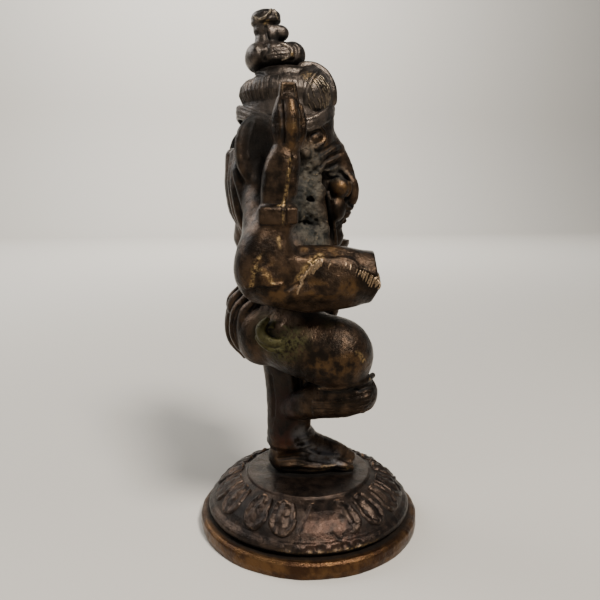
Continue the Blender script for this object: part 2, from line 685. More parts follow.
def sculpt_hips():
    hip, sash, belt, knot, curl = At("hips"), At("sash_folds"), At("waist_belt"), At("belt_knot"), At("sash_rosette")
    p = Piece("hips_cast", weld=1.0)
    p.add(egg(hip(0, 0.2, 0.4), (9.1, 8.0, 6.8)))
    p.add(egg(hip(-5.6, 3.4, -0.4), (4.6, 4.6, 5.6)), 1.6)
    # The gathered end of the sash: a leaf that is turned over at the belt, and flat layers under it
    # that lie round the back of the hip with their edges one behind the other.
    for name, side in (("sash_folds_near", -1), ("sash_folds_far", 1)):
        piece = Piece(name, weld=0.3)

        def s(*points):
            return [vec(hip.mid[0] + side * x, sash.mid[1] + y, sash.mid[2] + z) for x, y, z in points]
        piece.add(rod(s((0.6, -0.2, 6.0), (0.9, 1.1, 3.6), (1.1, 1.5, 0.2), (1.8, 0.9, -2.4), (3.4, -0.8, -5.0)),
                      [0.9, 1.15, 1.3, 1.2, 0.6]), 0.4)
        piece.add(rod(s((3.6, -1.2, 6.2), (3.6, 0.2, 4.0), (3.7, 0.6, 0.6), (4.4, 0.0, -2.0), (5.4, -1.4, -4.2)),
                      [0.8, 1.3, 1.55, 1.4, 0.7]), 0.2)
        piece.add(rod(s((6.6, -2.6, 6.0), (6.0, -1.0, 3.8), (6.0, -0.7, 0.8), (6.5, -1.1, -1.4), (7.2, -2.3, -3.2)),
                      [0.8, 1.3, 1.5, 1.35, 0.7]), 0.2)
        piece.add(rod(s((2.6, -0.6, 7.4), (2.0, 1.1, 5.4), (1.8, 1.6, 3.9), (2.6, 1.3, 3.2)), [0.7, 1.15, 0.9, 0.4],
                      flat=((side * 0.4, 0.9, 0), 1.3)), 0.12)
        for k in range(5):
            piece.groove(s((8.8, -3.2, 5.6 - 1.5 * k), (8.3, -2.2, 4.4 - 1.5 * k), (7.4, -1.0, 3.6 - 1.5 * k)), 0.2)
        piece.groove(s((5.4, 0.2, 5.6), (4.9, 1.6, 2.6), (5.2, 1.7, -0.4), (6.0, 0.8, -2.8)), 0.26, 0.2)
    b = Piece("waist_belt_cast", weld=0.4)
    c = belt()
    b.add(ring_of(vec(c[0], c[1] - 0.3, c[2] + 0.2), UP, (8.7, 8.2), 1.1))
    for dz in (-0.55, 0.55):
        b.add(ring_of(vec(c[0], c[1] - 0.3, c[2] + 0.2 + dz), UP, (9.3, 8.8), 0.42), 0.15)
    k = Piece("belt_knot_cast", weld=0.5)
    k.add(egg(knot(0, 0.1, 0), (2.0, 1.5, 2.1)))
    k.add(rod(knot.path((0.2, -0.3, -0.6), (0.5, -0.2, -2.0), (0.4, 0.5, -3.2)), [0.9, 0.9, 0.6]), 0.3)
    k.groove(knot.path((-1.4, -1.4, 0.6), (0, -1.6, 0.2), (1.4, -1.4, 0.6)), 0.2)
    # A loop of cloth curled like a C, with a second fold below it.
    r = Piece("sash_rosette_cast", weld=0.4)
    r.add(rod(curl.path((-0.4, 1.0, 2.5), (-0.7, 2.1, 1.2), (-1.0, 1.9, -0.3), (-1.3, 0.6, -1.3), (-1.3, -1.2, -1.4),
                        (-1.4, -2.6, -0.5),
                        (-1.2, -2.8, 0.6), (-0.8, -2.0, 1.2)), [0.5, 0.85, 0.95, 0.9, 0.9, 0.85, 0.7, 0.4]))
    r.add(egg(curl(0.5, -0.3, 0.2), (1.2, 2.2, 1.9)), 0.15)
    r.add(rod(curl.path((-0.4, 2.7, -0.6), (-0.9, 1.7, -1.9), (-1.3, 0.2, -2.7), (-1.6, -1.6, -2.7),
                        (-1.6, -3.0, -2.0)),
              [0.5, 0.6, 0.6, 0.6, 0.35]), 0.2)
    r.groove(curl.path((-0.6, -0.8, 1.6), (-0.9, -0.6, 0.4), (-0.8, 0.6, 0.4)), 0.5, 0.3)


# ---------------------------------------------------------------- torso

def sculpt_torso():
    belly, chest, gem, locks = At("belly"), At("chest"), At("pendant"), At("hair_locks")
    p = Piece("belly_cast", weld=1.2)
    p.add(egg(belly(), (9.8, 9.6, 9.8)))
    p.cut(egg(belly(-0.6, -9.6, -1.2), 0.8), 0.6)
    t = Piece("chest_cast", weld=1.0)
    t.add(egg(chest(0, 0, -1.6), (9.0, 8.1, 9.0)))
    t.add(rod(chest.path((-6.6, 2.8, 0.6), (6.6, 2.8, 0.6)), [4.1, 4.1]), 2.0)
    for side in (-1, 1):
        t.add(egg(chest(side * 3.9, -5.4, -3.2), (3.2, 2.6, 2.8)), 1.2)
        # The core was left rough under the arm: lumps and a blow hole.
        for y, z, r in ((-3.4, 3.8, 1.5), (-5.4, 2.2, 1.6), (-3.8, 0.2, 1.3), (-6.4, -0.4, 1.5), (-4.8, -2.2, 1.4),
                        (-3.2, -3.6, 1.2),
                        (-6.6, -4.0, 1.5), (-5.1, -7.2, 1.2), (-7.4, -7.2, 1.3), (-6.2, -9.6, 1.5),
                        (-3.6, -9.2, 1.3)):
            t.add(egg(chest(side * (6.4 - 0.25 * abs(y + 4)), y, z), (1.2, 1.25 * r, 1.25 * r)), 0.9)
        t.cut(egg(chest(side * 8.2, -4.7, -6.4), (2.6, 1.5, 1.2), (18, 0, 0)), 0.25)
        t.cut(egg(chest(side * 8.0, -5.0, -1.7), (1.6, 0.9, 0.5)), 0.25)
        # Two long leaves of a garland hang from the throat to the belly.
        for ahead, out in ((0.0, 0.0), (-1.5, -0.7)):
            t.add(rod(chest.path((side * (5.2 + out), -7.3 + ahead, -0.6), (side * (5.3 + out), -8.0 + ahead, -3.0),
                                 (side * (5.0 + out), -8.6 + ahead, -6.4), (side * (4.7 + out), -9.0 + ahead, -9.6),
                                 (side * (4.4 + out), -9.2 + ahead, -11.4)),
                      [0.5, 0.42, 0.36, 0.4, 0.3]), 0.2)
    t.add(rod(chest.path((0, -7.6, 2.6), (0, -8.6, -1.2), (0, -8.8, -5.2)), [3.4, 3.2, 2.6]), 1.0)
    t.groove(chest.path((0, 8.4, 5.5), (0, 8.6, 0), (0, 8.3, -7)), 0.35, 0.5)
    for y0, x0 in ((6.2, -12.2), (6.9, -11.6)):
        t.groove(chest.path((x0, y0 - 1.0, 0.6), (x0, y0, -1.8), (x0 - 0.6, y0 + 0.2, -4.6),
                            (x0 - 1.6, y0 - 0.1, -7.2)), 0.4, 0.2)
    g = Piece("pendant_cast", weld=0.3)
    g.add(egg(gem(0, 0.1, 0), (1.3, 0.8, 1.5)))
    c = Piece("sacred_thread_cast", weld=0.3)
    for lift in (-0.2, 0.2):
        path = []
        for share in np.linspace(0, 1, 9):
            q, h = math.radians(52 - 110 * share), math.radians(46 - 82 * share ** 1.1)
            path.append(belly(9.9 * math.cos(h) * math.sin(q), -9.7 * math.cos(h) * math.cos(q),
                              9.9 * math.sin(h) + 0.9 * lift))
        c.add(rod(path, 0.42, steps=2), 0.1)
    h = Piece("hair_locks_cast", weld=0.3)
    for side in (-1, 1):
        for k in range(3):
            x = side * (7.0 - 2.3 * k)
            h.add(rod(locks.path((x * 0.62, 0.5 + 0.6 * k, 8.4), (x * 0.86, 1.2 + 0.35 * k, 3.6),
                                 (x, 0.8 + 0.3 * k, -1.6), (x * 0.98, -0.4 + 0.1 * k, -6.6 + 0.6 * k)),
                                 [1.35, 1.4, 1.2, 0.55]), 0.1)
        h.add(rod(locks.path((side * 5.9, 0.2, 8.0), (side * 8.3, 1.4, 5.4), (side * 9.2, 0.6, 1.0),
                             (side * 9.0, -0.8, -4.4)),
                  [0.9, 0.9, 0.8, 0.4]), 0.1)


# ---------------------------------------------------------------- head

def sculpt_head():
    head, sweet = At("head"), At("trunk_sweet")
    p = Piece("head_cast", weld=0.8)
    p.add(egg(head(0, 0, -0.8), (8.5, 8.7, 8.2)))
    p.add(egg(head(0, -3.4, -3.2), (6.4, 5.4, 5.2)), 2.0)
    p.add(egg(head(0, -5.9, -4.2), (4.9, 4.5, 4.4)), 1.2)
    for side in (-1, 1):
        # Temple dome, eye in its sunken ring, and cheek.
        p.add(egg(head(side * 3.0, -4.4, 2.4), (3.4, 3.6, 3.2)), 1.2)
        p.cut(egg(head(side * 8.5, -4.2, -1.4), (1.6, 1.9, 1.5)), 0.7)
        p.add(egg(head(side * 6.9, -4.2, -1.6), (0.7, 1.3, 0.9), (0, 0, side * -25)), 0.4)
        p.ridge(head.path((side * 8.2, -2.6, -0.4), (side * 7.8, -3.9, 0.3), (side * 7.1, -5.1, 0.1),
                          (side * 6.7, -5.9, -1.1), (side * 6.9, -5.2, -2.5), (side * 7.4, -4.0, -3.2)), 0.36, 0.3,
                          lift=0.1)
        p.add(egg(head(side * 5.4, -3.2, -5.2), (2.3, 2.6, 2.2)), 1.0)
    t = Piece("trunk_cast", weld=0.7)
    s = head.path((-0.2, -3.0, -1.8), (-0.5, -7.0, -4.6), (-0.9, -9.3, -8.0), (-1.2, -9.7, -11.6),
                  (-1.2, -8.8, -15.0), (-0.8, -7.6, -18.6))
    t.add(rod(s, [5.4, 4.1, 3.4, 3.3, 2.7, 1.7]))
    t.cut(beyond(head(-3.6, -9.0, -11.0), (-1, -0.12, 0)), 0.8)
    # Wrinkles run across the root of the trunk, each a rounded lip with a deep fold above it.
    for k, (dz, wide, depth) in enumerate(((0, 1.0, 1.0), (-1.9, 1.0, 1.1), (-3.7, 0.94, 0.9))):
        lip = head.path((-6.2 * wide, -4.4 - 0.3 * k, -5.0 + dz), (-5.4 * wide, -6.2 - 0.3 * k, -3.9 + dz),
                        (-3.9 * wide, -8.2 - 0.3 * k, -3.0 + dz), (-1.6, -9.6 - 0.3 * k, -2.6 + dz),
                        (0, -9.9 - 0.3 * k, -2.5 + dz), (1.6, -9.6 - 0.3 * k, -2.6 + dz),
                        (3.9 * wide, -8.2 - 0.3 * k, -3.0 + dz), (5.4 * wide, -6.2 - 0.3 * k, -3.9 + dz))
        p.ridge(lip, 0.55, 0.45, lift=-0.12)
        p.groove([q + (0, 0, 0.85) for q in lip], 0.36 * depth, 0.35)
    t.groove(head.path((-5.2, -5.6, -9.0), (-4.6, -8.0, -8.6), (-3.4, -10.2, -8.4)), 0.35, 0.4)
    # The outer strand stands free of the inner one along the front.
    t.add(rod(head.path((-2.6, -10.1, -7.2), (-3.3, -11.5, -9.2), (-3.1, -11.8, -11.9), (-2.6, -11.0, -14.2)),
              [0.9, 1.15, 1.1, 0.6]), 0.3)
    t.groove(head.path((-4.2, -9.4, -7.4), (-4.4, -10.2, -9.6), (-4.2, -10.2, -12.0), (-3.6, -9.4, -14.4)), 0.45, 0.3)
    for y, z in ((-12.7, -13.0), (-12.2, -14.4), (-11.3, -15.9), (-10.9, -17.2)):
        t.groove(head.path((-3.4, y + 1.6, z - 0.2), (-1.8, y + 0.2, z), (0.6, y, z - 0.1)), 0.3, 0.2)
    for k in range(5):
        t.groove(head.path((-3.4 + 0.1 * k, -6.6 - 0.75 * k, -12.4), (-3.5 + 0.15 * k, -6.9 - 0.7 * k, -14.4),
                           (-2.9, -7.2 - 0.55 * k, -16.6)), 0.13, 0.2)
    t.groove(head.path((-3.2, -8.2, -18.4), (-3.2, -9.6, -17.6), (-2.8, -10.8, -16.4)), 0.3, 0.2)
    t.add(rod(head.path((-0.8, -8.4, -17.8), (-0.6, -9.0, -19.2), (-0.6, -9.1, -20.1)), [1.9, 1.7, 1.3]), 0.3)
    b = Piece("trunk_sweet_cast", weld=0.35)
    b.add(egg(sweet(-0.2, -0.3, 0.4), (1.9, 2.0, 1.95)))
    b.add(egg(sweet(0.2, 0.3, -3.2), (1.8, 1.9, 2.6)), 0.5)
    b.ridge(sweet.path((-1.0, -1.9, 1.6), (-1.0, -2.4, 0.2), (-1.0, -2.0, -1.4)), 0.3, 0.15)
    k = At("right_tusk")
    Piece("right_tusk_cast", weld=0.45).add(rod(k.path((0.8, 2.2, 0.8), (-1.2, 4.2, 1.5), (-2.6, 4.9, 1.8)),
            [1.5, 1.1, 0.85]))
    k = At("left_tusk")
    Piece("left_tusk_cast", weld=0.45).add(rod(k.path((-0.6, 1.8, 1.2), (0, 0, 0), (1.1, -2.2, -1.4)),
            [1.2, 0.95, 0.5]))


def ear_outline():
    """Broad fan, fuller above, narrowing to a lobe."""
    pts = []
    for a in np.linspace(0, 2 * math.pi, 33)[:-1]:
        pts.append((4.0 * math.cos(a) * (1 + 0.12 * math.sin(a)),
                    5.9 * math.sin(a) - 0.6 - 0.5 * math.cos(2 * a) * (math.sin(a) < 0)))
    return pts


def sculpt_ears():
    for side, name in ((-1, "right_ear"), (1, "left_ear")):
        e = At(name)
        across = unit(vec(side * 0.42, 0.9, 0))
        o = e(0, 0, -0.2)
        out = unit(np.cross(UP, across))
        out = out * np.sign(out[0] * side)
        p = Piece(name + "_cast", weld=0.45)
        p.add(slab(o, across, UP, ear_outline(), 1.15, 0.5))
        rim = [o + across * x * 0.95 + UP * y * 0.95 + out * 0.5 for x, y in ear_outline()]
        p.add(rod(rim, 0.62, steps=1, loop=True), 0.3)
        dish = math.degrees(math.atan2(across[1], across[0]))
        p.cut(egg(o + out * 2.3 - UP * 0.6, (3.3, 2.3, 5.0), (0, 0, dish)), 0.5)
        p.ridge([o + across * 1.2 + UP * 4.2 + out * 0.9, o + across * 2.1 + UP * 1.4 + out * 0.6,
                 o + across * 2.0 - UP * 1.6 + out * 0.6], 0.3, 0.3)
        p.groove([o + across * 3.3 + UP * 2.4 - out * 0.9, o + across * 3.4 - UP * 1.0 - out * 0.9,
                  o + across * 2.4 - UP * 4.0 - out * 0.9], 0.25, 0.3)


# ---------------------------------------------------------------- crown

def sculpt_crown():
    dome, roll, neck, knot, ball, crest, head = (At(n) for n in (
        "crown_dome", "crown_roll", "crown_neck", "crown_knot", "crown_finial", "crown_crest", "head"))
    foot = dome(0.1, -0.3, -4.9)
    p = Piece("crown_dome_cast", weld=0.5)
    p.add(lathe(foot, (0, 0.02, 1), [
        (0, 0), (7.9, 0), (7.7, 2.6), (8.35, 4.3), (8.1, 5.4), (7.2, 6.4), (6.0, 6.8), (5.7, 7.2), (5.4, 7.9),
        (4.6, 8.5), (0, 8.6)], 0.25))
    p.groove([foot + 7.2 * vec(math.sin(q), math.cos(q), 0) + UP * 8.1 for q in np.radians(range(-150, 151, 15))],
             0.3, 0.3)
    r = Piece("crown_roll_cast", weld=0.4)
    o = roll(0, 0.1, 0.1)
    r.add(egg(o, (4.5, 5.2, 2.5), (-4, 0, 0)))
    r.add(egg(o + (-0.2, -3.1, 0.15), (4.3, 2.45, 2.5), (-4, 0, 0)), 0.2)
    r.add(egg(o + (-0.1, 3.4, -0.3), (4.2, 2.1, 2.5), (-4, 0, 0)), 0.3)
    r.cut(beyond(o + (-4.25, 0, 0), (-1, 0, 0.12)), 0.5)
    r.ridge([o + q for q in ((-3.6, -0.6, 1.6), (-4.2, -2.0, 1.0), (-4.4, -2.5, 0), (-4.2, -2.1, -1.0),
                             (-4.0, -1.0, -1.7))], 0.28, 0.2)
    r.groove([o + q for q in ((-3.6, -1.2, 2.2), (-4.0, -3.0, 1.2), (-4.0, -3.3, 0), (-3.9, -2.9, -1.2),
                              (-3.6, -1.4, -2.1))], 0.24, 0.2)
    r.groove([o + q for q in ((-3.4, 1.9, 1.9), (-4.6, 1.9, 0.6), (-4.4, 2.4, -0.6), (-3.8, 2.2, -1.7))], 0.26, 0.3)
    for k in range(3):
        r.groove([o + q for q in ((-2.6 + 0.5 * k, -3.3 - 0.5 * k, 2.0), (-3.1 + 0.5 * k, -4.3 - 0.4 * k, 0.9),
                                  (-3.3 + 0.6 * k, -4.6 - 0.35 * k, -0.6))], 0.15, 0.2)
    for k in range(3):
        r.groove([o + q for q in ((-4.6, -1.4, 0.9 - 0.7 * k), (-4.6, 0.3, 0.8 - 0.75 * k),
                                  (-4.6, 1.5, 0.4 - 0.7 * k))], 0.12, 0.3)
    n = Piece("crown_neck_cast", weld=0.45)
    n.add(lathe(vec(neck.mid[0], neck.mid[1] + 1.3, neck.lo[2] - 0.3), (0, 0.05, 1),
                [(0, 0), (2.2, 0), (1.75, 0.9), (1.5, 1.9), (1.8, 2.7), (1.75, 4.4), (0, 4.4)], 0.2))
    n.add(egg(neck(-0.7, 1.9, -0.9), (1.1, 1.0, 1.0)), 0.3)
    n.add(egg(neck(-1.1, 0.2, -0.2), (1.0, 1.1, 1.3)), 0.3)
    n.groove(neck.path((-1.4, 1.4, 0.9), (-1.9, 1.2, -0.2), (-1.6, 0.9, -1.4)), 0.3, 0.2)
    k = Piece("crown_knot_cast", weld=0.5)
    k.add(egg(knot(0, 1.1, 0.1), (1.7, 1.7, 1.4)))
    k.add(egg(knot(-0.7, 2.0, 0.3), (1.0, 0.9, 1.1)), 0.3)
    b = Piece("crown_finial_cast", weld=0.3)
    b.add(egg(ball(0.1, 0.35, 0.2), (2.5, 2.7, 1.45), (-6, 0, 0)))
    b.add(ring_of(ball(0.1, 0.35, -0.55), (0, 0.12, 1), (2.1, 2.25), 0.5), 0.3)
    b.ridge(ball.path((-1.2, 2.6, -0.1), (-2.0, 1.9, -0.7), (-2.4, 0.9, -0.5), (-2.3, 0.2, 0.2), (-1.8, -0.4, 0.9)),
            0.24, 0.2, lift=0.08)
    b.ridge(ball.path((-1.6, -0.9, 1.0), (-2.1, -1.3, 0.3), (-1.9, -1.7, -0.4)), 0.22, 0.2, lift=0.06)

    # Crest: a broad leaf that wraps the front of the dome, with a thick smooth border.
    c = Piece("crown_crest_cast", weld=0.35)
    o = crest(0, 0, 0)
    c.add(egg(o + (0, 3.0, -1.3), (8.3, 5.2, 5.8)))
    c.add(egg(o + (0, 2.3, 1.6), (4.6, 3.1, 1.9), (20, 0, 0)), 1.0)
    c.cut(beyond(o + (0, 0, -4.4), (0, 0, -1)), 0.3)
    border = ((-3.6, 4.2, 3.7), (-3.4, 1.7, 3.9), (-3.8, -0.1, 2.7), (-4.3, -1.2, 1.1), (-4.4, -1.9, -0.8),
              (-3.9, -2.2, -2.4))
    for side in (-1, 1):
        c.ridge([o + (side * -x, y, z) for x, y, z in border], 0.72, 0.25, lift=-0.05)
        c.groove([o + (side * -x * 1.18, y + 0.8, z - 0.7) for x, y, z in border[1:]], 0.26, 0.2)
        c.ridge([o + (side * x, y, z) for x, y,
                 z in ((5.0, 1.9, 1.9), (6.7, 3.0, 0.5), (7.6, 3.9, -1.2), (8.0, 4.4, -3.4))], 0.34, 0.3)
    b = Piece("crown_band_cast", weld=0.35)
    h = head.mid - (0, 0, 0.8)
    for grow, lift, thick in ((0.0, 0.0, 0.95), (0.45, 0.75, 0.42), (0.4, -0.85, 0.5)):
        loop = [h + vec((8.5 + grow) * math.sin(a), -(8.3 + grow) * math.cos(a) + 0.4,
                        1.0 + lift + (4.3 if math.cos(a) > 0 else 3.3) * math.cos(a) ** 2)
                for a in np.linspace(0, 2 * math.pi, 19)[:-1]]
        b.add(rod(loop, thick, steps=2, loop=True), 0.12)


# ---------------------------------------------------------------- arms

def sculpt_arm(s, name):
    """An upper arm, its rear forearm and hand, and what the hand holds. s is -1 on the right and 1 on the left."""
    shoulder, elbow, band = At(name + "_upper_arm"), At(name + "_elbow"), At(name + "_armlet")
    arm, hand = At(name + "_rear_forearm"), At(name + "_rear_hand")
    u = Piece(name + "_upper_arm_cast", weld=1.0)
    u.add(rod(shoulder.path((-s * 3.6, 0.2, 5.0), (0, 0.3, 0.6), (s * 4.2, 1.2, -5.6)), [3.9, 3.7, 3.6]))
    e = Piece(name + "_elbow_cast", weld=1.0)
    e.add(egg(elbow(0, -1.2, 0.4), (4.1, 5.2, 6.4)))
    e.add(rod([band(0, 0.1, -0.6), elbow(0, -0.6, 3.2), elbow(0, 0.2, -0.4), elbow(s * -0.2, -0.8, -2.6)],
              [3.1, 3.5, 4.1, 4.1]), 1.4)
    e.cut(beyond(elbow(s * 3.9, 0, 0), (s * 1, -0.1, 0.12)), 0.6)
    e.cut(beyond(elbow(s * 3.1, 1.0, -2.9), (s * 0.75, 0.1, -1)), 0.35)
    e.ridge(elbow.path((s * 3.3, -3.4, -2.4), (s * 3.8, -1.6, -2.6), (s * 3.6, 0.6, -2.5), (s * 2.6, 2.4, -2.9)),
            0.22, 0.3)
    a = Piece(name + "_armlet_cast", weld=0.3)
    foot = vec(band.mid[0], band.mid[1], band.lo[2])
    a.add(lathe(foot + (0, 0, 0.2), UP,
                [(0, -0.1), (2.7, -0.1), (3.05, 0.4), (3.15, 1.5), (3.0, 2.7), (2.7, 3.2), (0, 3.2)], 0.2))
    a.add(block(foot + (s * 1.2, 0.9, 1.75), (2.2, 2.3, 1.5), (0, 0, s * 8), 0.6), 0.3)
    a.add(block(foot + (s * 1.0, -1.7, 1.8), (2.1, 1.5, 1.4), (0, 0, s * 8), 0.5), 0.12)
    a.groove([foot + (s * 3.4, -0.5, 3.4), foot + (s * 3.5, -0.4, 1.7), foot + (s * 3.3, -0.5, 0.2)], 0.22)
    f = Piece(name + "_rear_forearm_cast", weld=0.3)
    f.add(rod(arm.path((0, 0.6, -4.9), (0, 0.3, -1.2), (0, -0.4, 2.0), (0, -1.0, 4.6)), [2.6, 2.85, 2.75, 2.0]))
    f.cut(beyond(arm(s * 2.3, 0.6, 0), (s * 1, 0.38, 0)), 0.4)
    f.cut(beyond(arm(s * 2.1, -1.7, 0), (s * 1, -0.7, 0)), 0.2)
    f.ridge(arm.path((s * 2.3, -1.4, 3.2), (s * 2.6, -1.1, 1.2), (s * 2.8, -0.9, -1.4), (s * 2.7, -0.8, -3.4),
                     (s * 2.4, -0.2, -4.4)), 0.22, 0.25)
    for k in range(4):
        f.add(egg(arm(s * 0.6, -2.2 + 0.12 * k, 2.6 - 1.7 * k), (1.5, 0.9, 1.1)), 0.7)
    h = Piece(name + "_rear_hand_cast", weld=0.35)
    h.add(rod(hand.path((0, -0.3, -3.7), (0, -0.4, -1.6), (0, -0.4, 1.0), (0, -0.3, 3.3)), [2.0, 2.55, 2.6, 1.95]))
    h.cut(beyond(hand(s * 1.6, 1.3, 0), (s * 0.75, 0.66, 0)), 0.25)
    # The sunken line between the flat of the hand and the fingers, then two fingers side by side.
    h.groove(hand.path((s * 2.0, 1.2, 3.6), (s * 2.4, 0.9, 1.6), (s * 2.5, 0.7, -0.4), (s * 2.3, 0.9, -2.2),
                       (s * 2.0, 1.0, -3.6)), 0.5, 0.25)
    h.add(rod(hand.path((s * 1.5, -0.7, 3.3), (s * 1.9, -0.8, 1.4), (s * 1.9, -0.8, -0.8), (s * 1.6, -0.8, -3.0)),
              [0.95, 1.15, 1.1, 0.8]), 0.25)
    h.add(rod(hand.path((s * 0.8, -2.3, 2.9), (s * 1.0, -2.7, 1.0), (s * 1.0, -2.7, -1.2), (s * 0.8, -2.2, -3.0)),
              [0.5, 0.6, 0.6, 0.4]), 0.2)
    h.groove(hand.path((s * 1.9, -1.9, 2.4), (s * 2.1, -2.1, 0.2), (s * 1.8, -2.0, -2.4)), 0.25, 0.15)
    if s < 0:
        g = At("goad")
        top = Piece("goad_cast", weld=0.25)
        top.add(slab(g(0, -0.3, 0), (0, -1, 0), UP, [(-1.75, -2.6), (1.85, -2.6), (1.25, 1.3), (-1.2, 1.3)], 1.3,
                     0.25))
        top.cut(slab(g(-1.75, -0.3, -0.4), (0, -1, 0), UP, [(-1.2, -2.6), (1.25, -2.6), (0.85, 1.25), (-0.8, 1.25)],
                     0.62, 0.1), 0.15)
    else:
        g = At("noose")
        loop = Piece("noose_cast", weld=0.3)
        loop.add(ring_of(g(0, 0, -0.4), (0, 1, 0), (2.0, 2.0), 0.66))
        for q in np.linspace(0, 2 * math.pi, 9)[:-1]:
            loop.add(egg(g(2.0 * math.cos(q), 0, 2.0 * math.sin(q) - 0.4), 0.8), 0.15)


def sculpt_near_front_arm():
    arm, hand = At("right_front_forearm"), At("right_front_hand")
    p = Piece("right_front_forearm_cast", weld=0.9)
    p.add(rod(arm.path((0.4, 6.2, 0.0), (0.0, 0.4, -0.2), (0.0, -4.4, 0)), [5.4, 6.0, 5.5], flat=((1, 0, 0.1), 1.3)))
    q = Piece("right_front_hand_cast", weld=0.9)
    q.add(rod([arm(0.0, -3.0, 0.1), hand(-0.1, 2.4, 0.3), hand(0, -2.2, 0.4)], [5.6, 5.2, 4.9],
              flat=((1, 0, 0.1), 1.25)))
    edge = ((-3.7, 1.2, 2.6), (-3.4, 0.7, 3.2), (-3.1, -0.7, 3.6), (-3.2, -2, 3.2), (-2.8, -3.4, 3.1),
            (-2.8, -4.8, 3.1),
            (-2.8, -5.9, 2.7), (-3, -6.9, 1.9), (-2.8, -8.6, 1.3), (-2.6, -10.2, 0.7), (-2.2, -11.3, 0.1))
    for w, share in ((p, edge[:6]), (q, edge[4:])):
        w.cut(beyond(arm(-0.7, 0.5, 5.9), (-0.12, -0.14, 1)), 0.5)
        w.cut(beyond(arm(-3.5, -3.0, 3.3), (-0.62, -0.06, 0.8)), 0.25)
        w.cut(beyond(arm(-3.9, 0, 1.0), (-1, 0.06, 0.1)), 0.2)
        w.cut(beyond(arm(-3.6, 0, -2.4), (-0.8, -0.02, -0.75)), 0.3)
        w.cut(beyond(arm(0.8, -0.3, -5.9), (-0.1, -0.15, -1)), 0.4)
        w.cut(beyond(arm(0.8, 1.0, -6.0), (0, 0.24, -1)), 0.6)
        w.cut(beyond(arm(3.6, 0, 0), (1, 0, 0)), 0.5)
        # The chipped upper edge, with the chisel's slanting strokes below it.
        w.ridge(arm.path(*share), 0.22, 0.3, lift=0.05)
    q.cut(beyond(hand(0, -2.7, 1.2), (-0.25, -1, 0.2)), 0.25)
    q.cut(beyond(hand(-1.6, -2.7, -1.2), (-0.3, -0.94, -0.5)), 0.3)
    p.groove(arm.path((-4.3, 5.6, -1.4), (-4.6, 3.8, -0.4), (-4.6, 2.2, 0.4)), 0.3, 0.4)
    for k in range(7):
        y = 1.6 - 1.0 * k
        w = p if y > -2.6 else q
        w.groove(arm.path((-4.6, y, 2.6 - 0.05 * k), (-4.7, y + 0.7, 1.9 - 0.12 * k),
                          (-4.7, y + 1.3, 1.2 - 0.15 * k)), 0.14, 0.2)


def sculpt_far_front_arm():
    arm, hand, bowl, sweets = At("left_front_forearm"), At("left_front_hand"), At("sweet_bowl"), At("sweets")
    p = Piece("left_front_forearm_cast", weld=0.9)
    p.add(rod(arm.path((2.6, 5.6, -0.4), (1.0, 1.2, 0), (-3.6, -2.6, 0.2)), [3.3, 3.1, 2.5]))
    h = Piece("left_front_hand_cast", weld=0.6)
    h.add(rod(hand.path((2.2, 1.6, 0), (0, 0, 0), (-1.7, -1.0, 0)), [2.4, 2.5, 2.2]))
    for k in range(4):
        h.add(rod(hand.path((-0.5, -1.5, -1.6 + k), (-2.2, -2.4, -1.7 + k), (-4.0, -2.0, -1.4 + 0.9 * k)),
                  [0.65, 0.62, 0.5]), 0.25)
    b = Piece("sweet_bowl_cast", weld=0.35)
    b.add(lathe(bowl(0, 0, -1.2), UP, [(0, 0), (1.3, 0), (2.4, 0.7), (2.9, 1.7), (2.9, 2.3), (0, 2.3)], 0.2))
    s = Piece("sweets_cast", weld=0.15)
    for a in range(5):
        q = math.radians(72 * a)
        s.add(egg(sweets(1.4 * math.cos(q), 1.4 * math.sin(q), -0.5), 1.0), 0.1)
    s.add(egg(sweets(0, 0, 0.5), 1.1), 0.1)


# ---------------------------------------------------------------- metal finishes

def feed(tree, socket, value):
    """Links an output to the socket, or sets a plain value in it."""
    if hasattr(value, "is_output"):
        tree.links.new(value, socket)
    else:
        socket.default_value = value


def node(tree, kind, **settings):
    """Node with its inputs fed, and its other settings set, by name."""
    n = tree.nodes.new(kind)
    for key, value in settings.items():
        if key in n.inputs:
            feed(tree, n.inputs[key], value)
        else:
            setattr(n, key, value)
    return n


def out(tree, kind, **settings):
    """First output of a new node."""
    return node(tree, kind, **settings).outputs[0]


def mixed(tree, factor, a, b):
    """Colour that goes from a to b by factor."""
    n = node(tree, "ShaderNodeMix", data_type="RGBA")
    for socket, value in zip((n.inputs[0], n.inputs[6], n.inputs[7]), (factor, a, b)):
        feed(tree, socket, value)
    return n.outputs[2]


def maths(tree, kind, a, b=0.0, clamp=False):
    n = node(tree, "ShaderNodeMath", operation=kind, use_clamp=clamp)
    feed(tree, n.inputs[0], a)
    feed(tree, n.inputs[1], b)
    return n.outputs[0]


def stepped(tree, value, low, high):
    """Mask that rises smoothly from 0 to 1 between low and high."""
    n = node(tree, "ShaderNodeMapRange", interpolation_type="SMOOTHSTEP", Value=value)
    n.inputs["From Min"].default_value, n.inputs["From Max"].default_value = low, high
    return n.outputs["Result"]


def mask(tree, name):
    return node(tree, "ShaderNodeAttribute", attribute_name=name).outputs["Fac"]


def grain(tree, size_mm, detail=3.0, rough=0.55):
    """Noise on the piece's own coordinates, with features of that size."""
    where = tree.nodes.new("ShaderNodeTexCoord").outputs["Object"]
    return node(tree, "ShaderNodeTexNoise", Vector=where, Scale=1 / (size_mm * MM), Detail=detail,
                Roughness=rough).outputs["Fac"]


